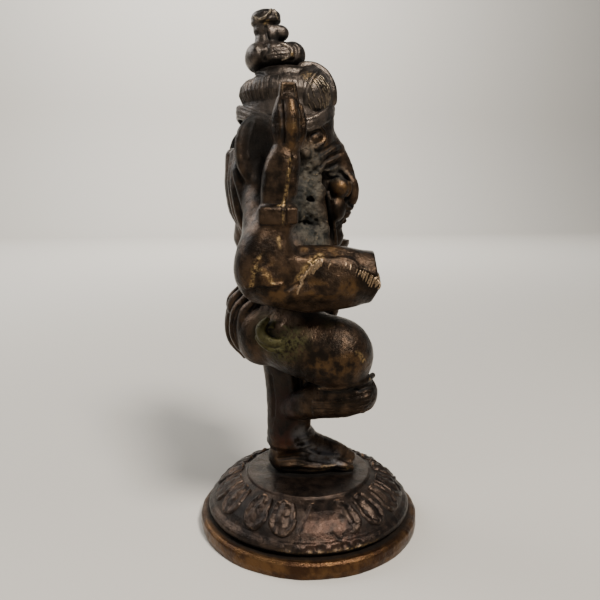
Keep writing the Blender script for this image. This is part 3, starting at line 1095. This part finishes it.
RED_BROWN = (0.045, 0.014, 0.008, 1)
SLATE_GREY = (0.09, 0.085, 0.084, 1)
OCHRE_BROWN = (0.085, 0.046, 0.018, 1)
BARE_BRASS = (0.33, 0.215, 0.09, 1)
GREEN_RUST = (0.046, 0.041, 0.013, 1)
CRUST_DARK = (0.016, 0.016, 0.013, 1)
CRUST_SANDY = (0.062, 0.053, 0.039, 1)
CRUST_FLECK = (0.22, 0.16, 0.09, 1)
DIRT_BLACK = (0.006, 0.005, 0.004, 1)


def patina_group():
    """Cast metal under an old brown patina: dark in the hollows, rubbed bare where it stands proud."""
    g = bpy.data.node_groups.new("old_patina", "ShaderNodeTree")
    face = g.interface
    for name, value in (("Dark", (0.018, 0.012, 0.009, 1)), ("Brown", (0.075, 0.042, 0.026, 1)),
                        ("Rubbed", (0.42, 0.24, 0.12, 1))):
        face.new_socket(name, in_out="INPUT", socket_type="NodeSocketColor").default_value = value
    face.new_socket("Wear", in_out="INPUT", socket_type="NodeSocketFloat").default_value = 0.5
    for name, kind in (("Color", "Color"), ("Roughness", "Float"), ("Metal", "Float"), ("Height", "Float")):
        face.new_socket(name, in_out="OUTPUT", socket_type="NodeSocket" + kind)
    into, coat = g.nodes.new("NodeGroupInput").outputs, g.nodes.new("NodeGroupOutput").inputs

    def add(a, b, clamp=False):
        return maths(g, "ADD", a, b, clamp)

    def times(a, b, clamp=False):
        return maths(g, "MULTIPLY", a, b, clamp)

    def swing(value, share):
        """How far the value is from its middle, times share."""
        return times(maths(g, "SUBTRACT", value, 0.5), share)

    cloud, blotch, speck, fine = grain(g, 7.0), grain(g, 1.8, 4.0), grain(g, 0.55, 4.0, 0.7), grain(g, 0.22, 2.0)
    shade = stepped(g, add(times(cloud, 0.5), times(blotch, 0.5)), 0.4, 0.62)
    base = mixed(g, shade, into["Dark"], into["Brown"])
    for key, colour, low, high in (("red", RED_BROWN, 0.34, 0.56), ("slate", SLATE_GREY, 0.34, 0.54),
                                   ("ochre", OCHRE_BROWN, 0.42, 0.64)):
        base = mixed(g, times(mask(g, key), stepped(g, blotch, low, high), True), base, colour)
    edge = add(add(mask(g, "proud"), swing(speck, 1.1)), swing(into["Wear"], 0.5))
    rubbed = stepped(g, edge, 0.5, 0.95)
    base = mixed(g, times(rubbed, 0.6), base, into["Rubbed"])
    bare = times(mask(g, "gold"), stepped(g, speck, 0.42, 0.62), True)
    base = mixed(g, bare, base, BARE_BRASS)
    rust = times(mask(g, "green"), stepped(g, speck, 0.38, 0.6), True)
    base = mixed(g, rust, base, GREEN_RUST)
    rind = mask(g, "crust")
    ground = mixed(g, stepped(g, blotch, 0.4, 0.6), CRUST_DARK, CRUST_SANDY)
    base = mixed(g, rind, base, mixed(g, stepped(g, speck, 0.6, 0.72), ground, CRUST_FLECK))
    dirt = stepped(g, add(mask(g, "hollow"), swing(speck, 0.3)), 0.22, 0.7)
    dirt = maths(g, "MAXIMUM", dirt, mask(g, "soot"))
    base = mixed(g, times(dirt, 0.9), base, DIRT_BLACK)
    earthy = maths(g, "MAXIMUM", rust, rind)
    matt = add(times(dirt, 0.3), times(earthy, 0.25))
    rough = add(add(times(speck, 0.34), 0.15), matt)
    dull = add(times(dirt, 0.6), times(earthy, 0.6), True)
    height = add(times(speck, 0.65), times(fine, 0.35))
    for key, value in (("Color", base),
                       ("Roughness", maths(g, "SUBTRACT", rough, times(rubbed, 0.05), True)),
                       ("Metal", times(maths(g, "SUBTRACT", 1.0, dull), 0.85)),
                       ("Height", times(height, add(times(rind, 1.6), 1.0)))):
        feed(g, coat[key], value)
    return g


PATINA = patina_group()


def metal(name, dark, brown, rubbed, wear, pitting):
    m = bpy.data.materials.new(name)
    m.use_nodes = True
    t = m.node_tree
    shader = t.nodes["Principled BSDF"].inputs
    coat = node(t, "ShaderNodeGroup", node_tree=PATINA, Dark=(*dark, 1), Brown=(*brown, 1), Rubbed=(*rubbed, 1),
                Wear=wear).outputs
    bump = node(t, "ShaderNodeBump", Strength=pitting, Distance=0.0002, Height=coat["Height"])
    for key, value in (("Normal", bump.outputs["Normal"]), ("Base Color", coat["Color"]), ("Metallic", coat["Metal"]),
                       ("Roughness", coat["Roughness"]), ("Specular IOR Level", 0.2)):
        feed(t, shader[key], value)
    return m


DARK_BRONZE = metal("dark_bronze", (0.011, 0.0075, 0.005), (0.056, 0.034, 0.02), (0.38, 0.26, 0.15), 0.4, 0.9)
CROWN_BRONZE = metal("crown_bronze", (0.026, 0.021, 0.017), (0.1, 0.077, 0.06), (0.42, 0.33, 0.22), 0.42, 0.85)
PEDESTAL_BRONZE = metal("pedestal_bronze", (0.015, 0.011, 0.009), (0.048, 0.032, 0.023), (0.42, 0.25, 0.15), 0.42,
                        0.9)
WORN_COPPER = metal("worn_copper", (0.036, 0.017, 0.008), (0.1, 0.05, 0.019), (0.45, 0.25, 0.11), 0.46, 0.85)
VERDIGRIS = metal("verdigris", (0.016, 0.014, 0.008), (0.05, 0.042, 0.016), (0.2, 0.16, 0.07), 0.4, 1.0)


def lay_stains():
    """Where the patina is rubbed, stained or crusted."""
    arm, rear, hand, cuff = (At("right_" + n) for n in ("front_forearm", "rear_forearm", "rear_hand", "armlet"))
    crest, ball, roll, trunk, sweet = (At(n) for n in ("crown_crest", "crown_finial", "crown_roll", "trunk",
            "trunk_sweet"))
    chest, head, thigh, shin, ear = (At(n) for n in ("chest", "head", "right_thigh", "right_shin", "right_ear"))
    # Yellow brass shows in thin curved lines on the elbow and in patches along the arm.
    stain("gold", 0.41, 0.85, *arm.path((-4.2, 11.4, -1.6), (-4.4, 10.8, 0.6), (-4.7, 10.6, 2.6), (-4.8, 9.8, 4.2),
            (-4.8, 8.0, 5.4)))
    stain("gold", 0.34, 0.77, *arm.path((-4.6, 10.6, 2.6), (-4.8, 8.6, 1.6), (-4.7, 7.6, -0.2)))
    stain("gold", 0.38, 0.77, *arm.path((-3.8, 6.5, 7.2), (-4.5, 6.2, 5.4), (-4.7, 6.0, 3.5)))
    stain("gold", 0.83, 0.85, *arm.path((-4.3, 3.3, 0.4), (-4.0, 2.1, 2.0), (-3.4, 0.8, 3.2), (-2.8, -0.4, 4.0)))
    stain("ochre", 2.2, 0.9, *arm.path((-1.9, 0.9, 4.7), (-1.9, -2.3, 4.5)))
    stain("ochre", 1.9, 0.9, *arm.path((-4.1, 1.1, -1.1), (-3.8, -2.0, -1.4), (-3.5, -5.4, -1.0)))
    stain("ochre", 3.4, 0.7, *arm.path((-4.4, 8.8, 1.0), (-4.4, 6.0, -2.0)))
    stain("gold", 0.38, 0.85, *rear.path((-2.4, -1.3, 2.5), (-2.7, -0.9, -1.4), (-2.7, -0.3, -4.2),
            (-2.7, 1.0, -5.0)))
    stain("gold", 0.68, 0.85, *hand.path((-1.6, -0.7, 2.8), (-2.1, -1.0, 1.0), (-2.4, -0.9, -0.3)))
    stain("ochre", 1.9, 0.8, *hand.path((-2.0, -0.9, 2.0), (-2.4, -0.9, -2.2)))
    stain("gold", 0.38, 0.77, *cuff.path((-3.2, -0.5, 0.4), (-3.1, -0.5, -1.1)))
    stain("gold", 1.1, 0.68, *crest.path((-7.1, 4.1, 1.6), (-7.0, 2.8, 0.4)))
    stain("gold", 0.38, 0.77, *ball.path((-0.8, 2.0, -1.1), (-1.4, 1.2, -1.5), (-2.2, 0.2, -1.0)))
    stain("gold", 0.38, 0.77, *roll.path((-5.5, -0.7, 0.4), (-4.8, -2.2, 0.2), (-3.9, -2.5, -0.9),
            (-5.0, -1.2, -1.9)))
    stain("ochre", 2.2, 0.9, sweet(-1.4, -0.4, 0.4))
    stain("ochre", 1.8, 0.6, *head.path((-7.0, -3.4, -3.4), (-6.4, -5.4, -2.4)))
    stain("gold", 0.45, 0.68, *trunk.path((-0.4, 0.1, -9.2), (-0.4, -2.8, -6.9)))
    stain("gold", 0.68, 0.77, *chest.path((-7.8, -3.7, -4.4), (-5.9, -5.6, -4.8)))
    stain("crust", 3.6, 1.0, *chest.path((-6.2, -4.3, 5.5), (-7.0, -5.1, 0.8), (-8.1, -4.1, -1.8), (-6.6, -4.8, -5.4),
            (-6.8, -6.6, -9.2)))
    stain("crust", 2.0, 0.7, *head.path((-5.5, -2.6, -6.4), (-4.9, -4.1, -6.6), (-3.8, -6.5, -7.3),
            (-4.0, -8.8, -8.0)))
    stain("crust", 3.6, 0.8, *chest.path((7.8, -4.3, 4.5), (8.1, -4.1, -3.8), (6.6, -4.8, -7.4)))
    stain("soot", 5.2, 1.0, *ear.path((-0.6, 0.6, 4.0), (0.2, 0.2, 0), (1.0, -1.0, -4.2), (0.5, -3.5, -7.2)))
    stain("soot", 5.2, 1.0, *At("left_ear").path((0.6, 0.6, 4.0), (-0.2, 0.2, 0), (-1.0, -1.0, -4.2)))
    stain("soot", 2.6, 0.8, *At("right_upper_arm").path((2.2, -3.4, 3.5), (1.6, -3.8, -3.5)))
    stain("ochre", 2.6, 0.6, *thigh.path((-6.3, -0.9, -2.3), (-7.4, -3.3, -2.6), (-8.0, -5.8, -2.0)))
    stain("gold", 0.6, 0.77, *thigh.path((-7.5, -7.0, -0.1), (-7.5, -8.3, -1.5)))
    stain("gold", 0.22, 0.59, *thigh.path((3.4, 10.0, -1.8), (1.1, 6.9, -3.4), (-0.7, 3.5, -4.9)))
    stain("gold", 0.3, 0.68, *shin.path((-5.1, -4.9, 4.6), (-5.2, -3.1, 3.8), (-5.2, -0.9, 2.8), (-2.7, 2.8, 1.8)))
    leg, foot = At("standing_leg"), At("standing_foot")
    stain("red", 3.4, 0.9, *leg.path((-5.9, 1.9, -1.5), (-4.6, 1.5, -8.5)))
    stain("soot", 4.6, 0.75, *leg.path((-5.0, 2.6, 7.5), (-5.0, 2.2, 0.5), (-4.0, 2.0, -6.0)))
    stain("slate", 1.9, 1.0, *foot.path((-3.7, 2.9, 5.9), (-4.1, 1.2, 2.6)))
    stain("slate", 2.2, 0.9, *foot.path((-3.4, 0.4, 1.6), (-4.0, -4.4, 0.2)))
    stain("gold", 0.68, 0.68, *foot.path((-3.8, 0.3, -1.3), (-4.4, -3.3, -1.5), (-4.6, -6.9, -2.0)))
    dome = At("crown_dome")
    stain("soot", 2.6, 0.5, *[dome.mid + (8.2 * math.sin(a), 8.2 * math.cos(a),
            -2.6) for a in np.radians(range(-120, 121, 12))])
    ledge, groove_radius = At("plinth"), 19.9
    stain("red", 4.0, 0.25, (-18.4, 1.5, ledge.hi[2] + 3.6), (-18.2, -3.5, ledge.hi[2] + 3.6))
    stain("soot", 1.3, 0.95, *[(groove_radius * math.cos(a), groove_radius * math.sin(a),
                                ledge.hi[2]) for a in np.radians(range(0, 361, 10))])
    curl = At("sash_rosette")
    stain("green", 3.2, 0.9, *curl.path((-0.4, 2.4, 3.7), (-1.0, 2.6, 0.2), (-1.4, -0.4, -2.5), (-1.7, -3.9, -1.3)))
    stain("green", 2.4, 0.6, *thigh.path((-3.0, -3.2, 4.8), (-1.2, -5.6, 4.6)))
    lip = At("lotus_cushion")
    wide, high = cushion_slope()[len(cushion_slope()) // 2]
    stain("soot", 3.4, 0.75, *[(lip.mid[0] - wide * math.cos(a), lip.mid[1] + wide * math.sin(a),
                                high) for a in np.radians(range(24, 345, 12))])
    stain("gold", 0.52, 0.68, *lip.path((-18.2, 8.5, -2.6), (-19.4, 4.5, -2.6), (-20.0, 0.4, -2.6),
            (-19.6, -5.2, -2.6), (-17.6, -9.6, -2.6)))
    stain("soot", 2.2, 0.9, *At("hips").path((-12.0, 6.2, 8.2), (-10.5, -1.0, 7.6), (-8.0, -7.0, 7.2)))


# ---------------------------------------------------------------- what repeats: petals, beads, strokes

def new_tree(name, *inputs):
    """Geometry node tree with its named inputs. Gives the tree, what comes into it, and the inputs' identifiers."""
    t = bpy.data.node_groups.new(name, "GeometryNodeTree")
    t.interface.new_socket("Geometry", in_out="INPUT", socket_type="NodeSocketGeometry")
    keys = {}
    for key, kind, value in inputs:
        socket = t.interface.new_socket(key, in_out="INPUT", socket_type="NodeSocket" + kind)
        if value is not None:
            socket.default_value = value
        keys[key] = socket.identifier
    t.interface.new_socket("Geometry", in_out="OUTPUT", socket_type="NodeSocketGeometry")
    return t, t.nodes.new("NodeGroupInput").outputs, keys


def finish_tree(t, into, geometry):
    """Realizes the instances, sets the material and ends the tree."""
    real = out(t, "GeometryNodeRealizeInstances", Geometry=geometry)
    smooth = out(t, "GeometryNodeSetShadeSmooth", Geometry=real)
    skin = out(t, "GeometryNodeSetMaterial", Geometry=smooth, Material=into["Material"])
    feed(t, t.nodes.new("NodeGroupOutput").inputs[0], skin)


def grown(name, seed_mesh, tree, keys, **values):
    """Mesh object that the node tree grows from the seed mesh."""
    source = bpy.data.objects.new(name + "_seed", seed_mesh)
    bpy.context.scene.collection.objects.link(source)
    mod = source.modifiers.new("grow", "NODES")
    mod.node_group = tree
    for key, value in values.items():
        mod[keys[key]] = value
    bpy.context.view_layer.update()
    result = bpy.data.meshes.new_from_object(source.evaluated_get(bpy.context.evaluated_depsgraph_get()))
    source.modifiers.remove(mod)
    bpy.data.objects.remove(source)
    result.name = name
    obj = bpy.data.objects.new(name, result)
    bpy.context.scene.collection.objects.link(obj)
    return obj


def seed_lines(name, lines, radii):
    """Seed mesh of open lines, with a point attribute "width"."""
    mesh = bpy.data.meshes.new(name)
    verts, edges, width = [], [], []
    for line, r in zip(lines, radii):
        n = len(line)
        edges += [(len(verts) + i, len(verts) + i + 1) for i in range(n - 1)]
        width += [r * (0.25 + 0.75 * math.sin(math.pi * (0.06 + 0.88 * i / (n - 1))) ** 0.6) for i in range(n)]
        verts += [tuple(p * MM) for p in line]
    mesh.from_pydata(verts, edges, [])
    mesh.attributes.new("width", "FLOAT", "POINT").data.foreach_set("value", [w * MM for w in width])
    return mesh


def random_between(t, low, high, seed):
    """Even spread of random numbers between low and high."""
    n = node(t, "FunctionNodeRandomValue", data_type="FLOAT", Seed=seed)
    n.inputs[2].default_value, n.inputs[3].default_value = low, high
    return n.outputs[1]


def vector_maths(t, kind, a, b=None, result="Vector"):
    """Result of a sum on vectors; b is left out where the sum takes one vector."""
    n = node(t, "ShaderNodeVectorMath", operation=kind)
    for socket, value in zip(n.inputs, (a, b)):
        if value is not None:
            feed(t, socket, value)
    return n.outputs[result]


def stroke_tree():
    """Raised strokes: a tapering wire along each line."""
    t, into, keys = new_tree("raised_strokes", ("Sides", "Int", 6), ("Rubbed", "Float", 0.5),
                             ("Material", "Material", None))
    line = out(t, "GeometryNodeMeshToCurve", Mesh=into["Geometry"])
    width = out(t, "GeometryNodeInputNamedAttribute", data_type="FLOAT", Name="width")
    ring = out(t, "GeometryNodeCurvePrimitiveCircle", Radius=1.0, Resolution=into["Sides"])
    wire = out(t, "GeometryNodeCurveToMesh", Curve=line, Scale=width, **{"Profile Curve": ring, "Fill Caps": True})
    finish_tree(t, into, out(t, "GeometryNodeStoreNamedAttribute", Name="proud", Geometry=wire, Value=into["Rubbed"]))
    return t, keys


def bead_tree():
    """Beads strung along each line, their sizes a little uneven."""
    t, into, keys = new_tree("strung_beads", ("Bead", "Float", 0.0005), ("Pitch", "Float", 0.0009),
                             ("Seed", "Int", 3),
                             ("Material", "Material", None))
    line = out(t, "GeometryNodeMeshToCurve", Mesh=into["Geometry"])
    spaced = out(t, "GeometryNodeResampleCurve", mode="LENGTH", Curve=line, Length=into["Pitch"])
    bead = out(t, "GeometryNodeMeshIcoSphere", Subdivisions=3, Radius=into["Bead"])
    beads = out(t, "GeometryNodeInstanceOnPoints", Points=spaced, Instance=bead,
                Scale=random_between(t, 0.85, 1.1, into["Seed"]))
    real = out(t, "GeometryNodeRealizeInstances", Geometry=beads)
    finish_tree(t, into, out(t, "GeometryNodeStoreNamedAttribute", Name="proud", Value=0.6, Geometry=real))
    return t, keys


def petal_tree():
    """The petal set round the upright axis, sunk where a side of the pedestal is rubbed smooth."""
    t, into, keys = new_tree("lotus_ring", ("Count", "Int", 18), ("First", "Float", 0.0),
                             ("Worn", "Vector", (-1, 0, 0)),
                             ("Sink", "Float", 0.0006), ("Seed", "Int", 1), ("Material", "Material", None))
    step = maths(t, "DIVIDE", 2 * math.pi, into["Count"])
    angle = maths(t, "ADD", maths(t, "MULTIPLY", out(t, "GeometryNodeInputIndex"), step), into["First"])
    sway = random_between(t, -0.045, 0.045, into["Seed"])
    turned = out(t, "ShaderNodeCombineXYZ", Z=maths(t, "ADD", angle, sway))
    ring = out(t, "GeometryNodeInstanceOnPoints", Points=out(t, "GeometryNodePoints", Count=into["Count"]),
               Instance=into["Geometry"], Rotation=turned)
    real = out(t, "GeometryNodeRealizeInstances", Geometry=ring)
    # A point is pushed in and down the more, the nearer it lies to the rubbed side.
    way = vector_maths(t, "NORMALIZE", vector_maths(t, "MULTIPLY", out(t, "GeometryNodeInputPosition"), (1, 1, 0)))
    fade = stepped(t, vector_maths(t, "DOT_PRODUCT", way, into["Worn"], "Value"), 0.955, 0.99)
    deep = maths(t, "MULTIPLY", maths(t, "MULTIPLY", fade, into["Sink"]), -1.0)
    push = out(t, "ShaderNodeVectorMath", operation="SCALE", Vector=vector_maths(t, "ADD", way, (0, 0, 0.8)),
               Scale=deep)
    move = out(t, "GeometryNodeSetPosition", Geometry=real, Offset=push)
    rough = node(t, "ShaderNodeTexNoise", Scale=750).outputs["Color"]
    shift = out(t, "ShaderNodeVectorMath", operation="SCALE", Scale=0.0007,
                Vector=vector_maths(t, "SUBTRACT", rough, (0.5, 0.5, 0.5)))
    finish_tree(t, into, out(t, "GeometryNodeSetPosition", Geometry=move, Offset=shift))
    return t, keys


def petal_mesh():
    """One petal, on the +X side: a raised lip round a hollow with a swelling down its middle."""
    side = np.array(cushion_slope()[::-1])
    run = np.concatenate([[0], np.cumsum(np.linalg.norm(np.diff(side, axis=0), axis=1))])
    low, high = 0.7, run[-1] - 0.75
    nu, nv = 28, 34
    a, b = np.meshgrid(np.linspace(-1, 1, nu + 1), np.linspace(0, 1, nv + 1), indexing="ij")
    bow = np.clip((b - 0.6) / 0.4, 0, 1)
    across = a * np.sqrt(np.clip(1 - bow ** 2, 0, 1))
    rho = np.maximum(np.sqrt(across ** 2 + bow ** 2), np.clip(1 - b / 0.12, 0, 1))
    wide = 3.0 * (0.62 + 0.38 * np.clip(b / 0.55, 0, 1) ** 0.8)
    lip_at, lip_wide, lip_high, swell_wide, swell_high = 0.74, 0.2, 0.42, 0.36, 0.5
    lipped = np.exp(-((rho - lip_at) / lip_wide) ** 2)
    middle = np.exp(-(across / swell_wide) ** 2) * np.clip(1 - bow / 0.8, 0, 1)
    height = lip_high * lipped + swell_high * middle + 0.12 - 1.2 * np.clip((rho - 0.86) / 0.14, 0, 1) ** 1.5
    s = low + (high - low) * b
    r, z = np.interp(s, run, side[:, 0]), np.interp(s, run, side[:, 1])
    e = 0.3
    dr = np.interp(s + e, run, side[:, 0]) - np.interp(s - e, run, side[:, 0])
    dz = np.interp(s + e, run, side[:, 1]) - np.interp(s - e, run, side[:, 1])
    size = np.hypot(dr, dz)
    nr, nz = -dz / size, dr / size
    lean = 0.1 * (s - s.mean())

    def lay(h):
        rr, zz = r + nr * h, z + nz * h
        q = (across * wide + lean) / np.maximum(rr, 1)
        return np.stack([rr * np.cos(q), rr * np.sin(q), zz], -1)
    top, under = lay(height), lay(np.minimum(height, 0) - 0.5)
    verts = np.vstack([top.reshape(-1, 3), under.reshape(-1, 3)])
    n = (nu + 1) * (nv + 1)
    at = np.arange(n).reshape(nu + 1, nv + 1)
    quads = np.stack([at[:-1, :-1], at[1:, :-1], at[1:, 1:], at[:-1, 1:]], -1).reshape(-1, 4)
    loop = np.concatenate([at[:, 0], at[-1, 1:], at[-2::-1, -1], at[0, -2:0:-1]])
    after = np.roll(loop, -1)
    walls = np.stack([after, loop, loop + n, after + n], -1)
    faces = np.vstack([quads, quads[:, ::-1] + n, walls])
    lit = np.clip(0.5 * lipped + 0.35 * middle, 0, 1).ravel()
    dim = np.clip(0.8 - lipped - middle, 0, 1).ravel() * 0.5
    obj = make_mesh("petal", verts, faces,
                    {"proud": np.concatenate([lit, lit * 0]), "hollow": np.concatenate([dim, dim * 0 + 1])})
    mesh = obj.data
    bpy.data.objects.remove(obj)
    return mesh


def lay_petals():
    tree, keys = petal_tree()
    ring = grown("lotus_petals_cast", petal_mesh(), tree, keys, First=math.radians(214), Material=PEDESTAL_BRONZE)
    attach(ring, "root")
    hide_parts("lotus_petals")


def string_beads():
    tree, keys = bead_tree()
    chest, string = PIECES["chest_cast"], At("necklace")
    lines = []
    for wide, drop, low in ((4.4, 5.0, -4.2), (3.4, 3.0, -0.8)):
        swing = np.linspace(-1, 1, 25)
        track = [string(wide * a, -3.0 + 3.0 * a * a, low + drop * a * a) for a in swing]
        lines.append(chest.on_skin(track, 0.25))
    beads = grown("necklace_beads", seed_lines("strings", lines, [1, 1]), tree, keys, Material=DARK_BRONZE)
    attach(beads, "root")
    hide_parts("necklace")


def score_strokes():
    """Fine raised strokes left by the chasing tools: on the crest, the combed dome and the arm's edge."""
    rng = np.random.default_rng(11)
    tree, keys = stroke_tree()
    sets = {"crest_hatching": [], "dome_combing": [], "arm_strokes": [], "shin_strokes": []}
    rubbed = {"crest_hatching": 0.72, "dome_combing": 0.4, "arm_strokes": 0.9, "shin_strokes": 0.5}
    crest, skin = At("crown_crest"), PIECES["crown_crest_cast"]
    field = np.array([(2.0, 1.9), (-0.2, 0.9), (-1.0, -1.2), (-0.9, -2.6), (1.6, -4.2), (4.2, -5.0), (4.6, -3.4),
                      (3.9, -1.4), (2.9, 0.3)])
    for side in (-1, 1):
        for i in range(15):
            for j in range(3):
                y, z = 2.6 + 0.26 * i - 0.55 * j - 0.12 * (14 - i), 2.4 - 0.42 * i - 1.75 * j
                y, z = y + rng.uniform(-0.12, 0.12), z + rng.uniform(-0.2, 0.2)
                end = (y - 0.75 + rng.uniform(-0.15, 0.15), z - 1.5)
                if outline_distance(np.array([((y + end[0]) / 2, (z + end[1]) / 2)]), field)[0] > -0.25:
                    continue
                line = [(side * 6.5, y, z), (side * 6.5, (y + end[0]) / 2 - 0.12, (z + end[1]) / 2),
                        (side * 6.5, *end)]
                sets["crest_hatching"].append((skin.on_skin(curve([crest.mid + q for q in line], 3), 0.02),
                        rng.uniform(0.12, 0.2)))
    dome, skin = At("crown_dome"), PIECES["crown_dome_cast"]
    foot = dome(0.1, -0.3, -4.9)
    for a in range(-120, 121, 6):
        q = math.radians(a + rng.uniform(-1.2, 1.2))
        way = vec(math.sin(q), math.cos(q), 0)
        line = skin.on_skin(curve([foot + way * 7.9 + UP * 2.6, foot + way * 8.6 + UP * 4.5,
                                   foot + way * 7.6 + UP * 6.6], 5), -0.02)
        sets["dome_combing"].append((line, rng.uniform(0.09, 0.15)))
    arm = At("right_front_forearm")
    edge = curve(arm.path((-4.4, 3.0, 0.2), (-3.9, 1.6, 2.4), (-3.4, 0.5, 3.4), (-3.1, -0.7, 3.7), (-3.1, -2.6, 3.3),
                          (-2.9, -4.8, 3.2), (-3.0, -6.9, 2.1),
                          (-2.8, -8.6, 1.5), (-2.6, -10.2, 0.9), (-2.2, -11.3, 0.2)), 5)
    for i, top in enumerate(edge):
        skin = PIECES["right_front_forearm_cast" if top[1] > arm.mid[1] - 4.4 else "right_front_hand_cast"]
        top = top + (0, rng.uniform(-0.1, 0.1), rng.uniform(-0.5, 0.1))
        line = [top, top + (-0.4, 0.35, -0.7), top + (-0.7, 0.7, -1.3 - rng.uniform(0, 0.7))]
        sets["arm_strokes"].append((skin.on_skin(curve(line, 3), 0.02), rng.uniform(0.16, 0.26)))
    shin, skin = At("right_shin"), PIECES["right_shin_cast"]
    for k in range(22):
        y, z = 4.2 - 0.42 * k + rng.uniform(-0.1, 0.1), rng.uniform(-2.6, 2.0)
        line = shin.path((-4.8, y, z), (-5.0, y - 0.9, z + 0.15), (-5.0, y - 2.0, z + 0.7))
        sets["shin_strokes"].append((skin.on_skin(curve(line, 3), 0.0), rng.uniform(0.1, 0.18)))
    for name, strokes in sets.items():
        on_crown = name in ("crest_hatching", "dome_combing")
        lines, radii = zip(*strokes)
        obj = grown(name, seed_lines(name, lines, radii), tree, keys, Rubbed=rubbed[name],
                    Material=CROWN_BRONZE if on_crown else DARK_BRONZE)
        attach(obj, "root")


# ---------------------------------------------------------------- casting the figure

sculpt_pedestal()
sculpt_standing_leg()
sculpt_raised_leg()
sculpt_hips()
sculpt_torso()
sculpt_head()
sculpt_ears()
sculpt_crown()
sculpt_arm(-1, "right")
sculpt_arm(1, "left")
sculpt_near_front_arm()
sculpt_far_front_arm()

# CAD nodes whose piece has another name than theirs with _cast after it.
STANDS_FOR = {"plinth_disc": "plinth", "cushion": "lotus_cushion", "standing_plate": "foot_plate",
              "standing_anklet_band": "standing_anklet", "right_anklet_band": "right_anklet",
              "sash_folds_near": "sash_folds", "sash_folds_far": "sash_folds"}
CROWN = ("crown_dome", "crown_roll", "crown_neck", "crown_knot", "crown_finial", "crown_crest", "crown_band")
lay_stains()
with ThreadPoolExecutor(4) as pool:
    forms = list(pool.map(cast_form, PIECES.values()))
for wax, form in zip(list(PIECES.values()), forms):
    stands_for = STANDS_FOR.get(wax.name, wax.name.removesuffix("_cast"))
    if stands_for in CROWN:
        finish = (CROWN_BRONZE, "crown_bronze")
    elif stands_for in ("lotus_cushion", "foot_plate"):
        finish = (PEDESTAL_BRONZE, "pedestal_bronze")
    elif stands_for == "plinth":
        finish = (WORN_COPPER, "worn_copper")
    elif stands_for == "sash_rosette":
        finish = (VERDIGRIS, "verdigris")
    else:
        finish = (DARK_BRONZE, "dark_bronze")
    cast(wax.name, form, *finish, [stands_for])

lay_petals()
string_beads()
score_strokes()


# ---------------------------------------------------------------- stage, light and camera

def make_stage():
    """Pale floor that sweeps up into a backdrop behind the figure."""
    depth, rise, bend = 1.2, 0.9, 0.25
    profile = [(-1.0, 0.0), (depth - bend, 0.0)]
    profile += [(depth - bend + bend * math.sin(a), bend - bend * math.cos(a)) for a in np.linspace(0.1, math.pi / 2,
            12)]
    profile += [(depth, rise)]
    verts = [(x / MM, y / MM, z / MM) for x, z in profile for y in (-1.6, 1.6)]
    quads = [(2 * i, 2 * i + 2, 2 * i + 3, 2 * i + 1) for i in range(len(profile) - 1)]
    floor = make_mesh("studio_floor", np.array(verts), quads)
    m = bpy.data.materials.new("pale_floor")
    m.use_nodes = True
    shader = m.node_tree.nodes["Principled BSDF"]
    shader.inputs["Base Color"].default_value = (0.46, 0.43, 0.38, 1)
    shader.inputs["Roughness"].default_value = 0.8
    floor.data.materials.append(m)


def placed(place, x, y, z):
    """World matrix of an object at a place, from its three axes."""
    return Matrix([(x[i], y[i], z[i], place[i]) for i in range(3)] + [(0, 0, 0, 1)])


def area_light(name, place, aim, size, power, colour=(1, 1, 1)):
    light = bpy.data.lights.new(name, "AREA")
    light.shape, light.size, light.energy, light.color = "DISK", size, power, colour
    obj = bpy.data.objects.new(name, light)
    back = unit(vec(*place) - vec(*aim))
    side = unit(np.cross((0, 0, 1), back))
    obj.matrix_world = placed(place, side, np.cross(back, side), back)
    bpy.context.scene.collection.objects.link(obj)


def make_camera():
    """Camera on the figure's right, a little behind it and looking down on it."""
    behind, aside, dip = math.radians(10), math.radians(0.86), math.radians(9.6)
    distance, height = 0.1161, 0.0652
    look = vec(math.cos(behind), -math.sin(behind), 0)
    right = vec(-math.sin(behind), -math.cos(behind), 0)
    place = -distance * look + (0, 0, height)
    ahead = math.cos(aside) * look - math.sin(aside) * right
    right = math.cos(aside) * right + math.sin(aside) * look
    view = math.cos(dip) * ahead - math.sin(dip) * UP
    up = math.sin(dip) * ahead + math.cos(dip) * UP
    data = bpy.data.cameras.new("camera")
    data.lens, data.sensor_width, data.clip_start = 36, 36, 0.005
    obj = bpy.data.objects.new("camera", data)
    obj.matrix_world = placed(place, right, up, -view)
    bpy.context.scene.collection.objects.link(obj)
    bpy.context.scene.camera = obj


make_stage()
area_light("key", (-0.24, -0.1, 0.38), (0, 0, 0.05), 0.11, 3.7, (1, 0.96, 0.91))
area_light("fill", (-0.3, 0.32, 0.2), (0, 0, 0.05), 0.35, 0.35, (0.92, 0.96, 1))
area_light("rim", (0.2, 0.3, 0.34), (0, 0, 0.06), 0.3, 1.6)
area_light("backdrop_wash", (0.5, 0, 0.75), (1.2, 0, 0.3), 0.6, 22.0)
world = bpy.data.worlds.new("room")
world.use_nodes = True
world.node_tree.nodes["Background"].inputs["Color"].default_value = (0.8, 0.82, 0.85, 1)
world.node_tree.nodes["Background"].inputs["Strength"].default_value = 0.26
bpy.context.scene.world = world
make_camera()
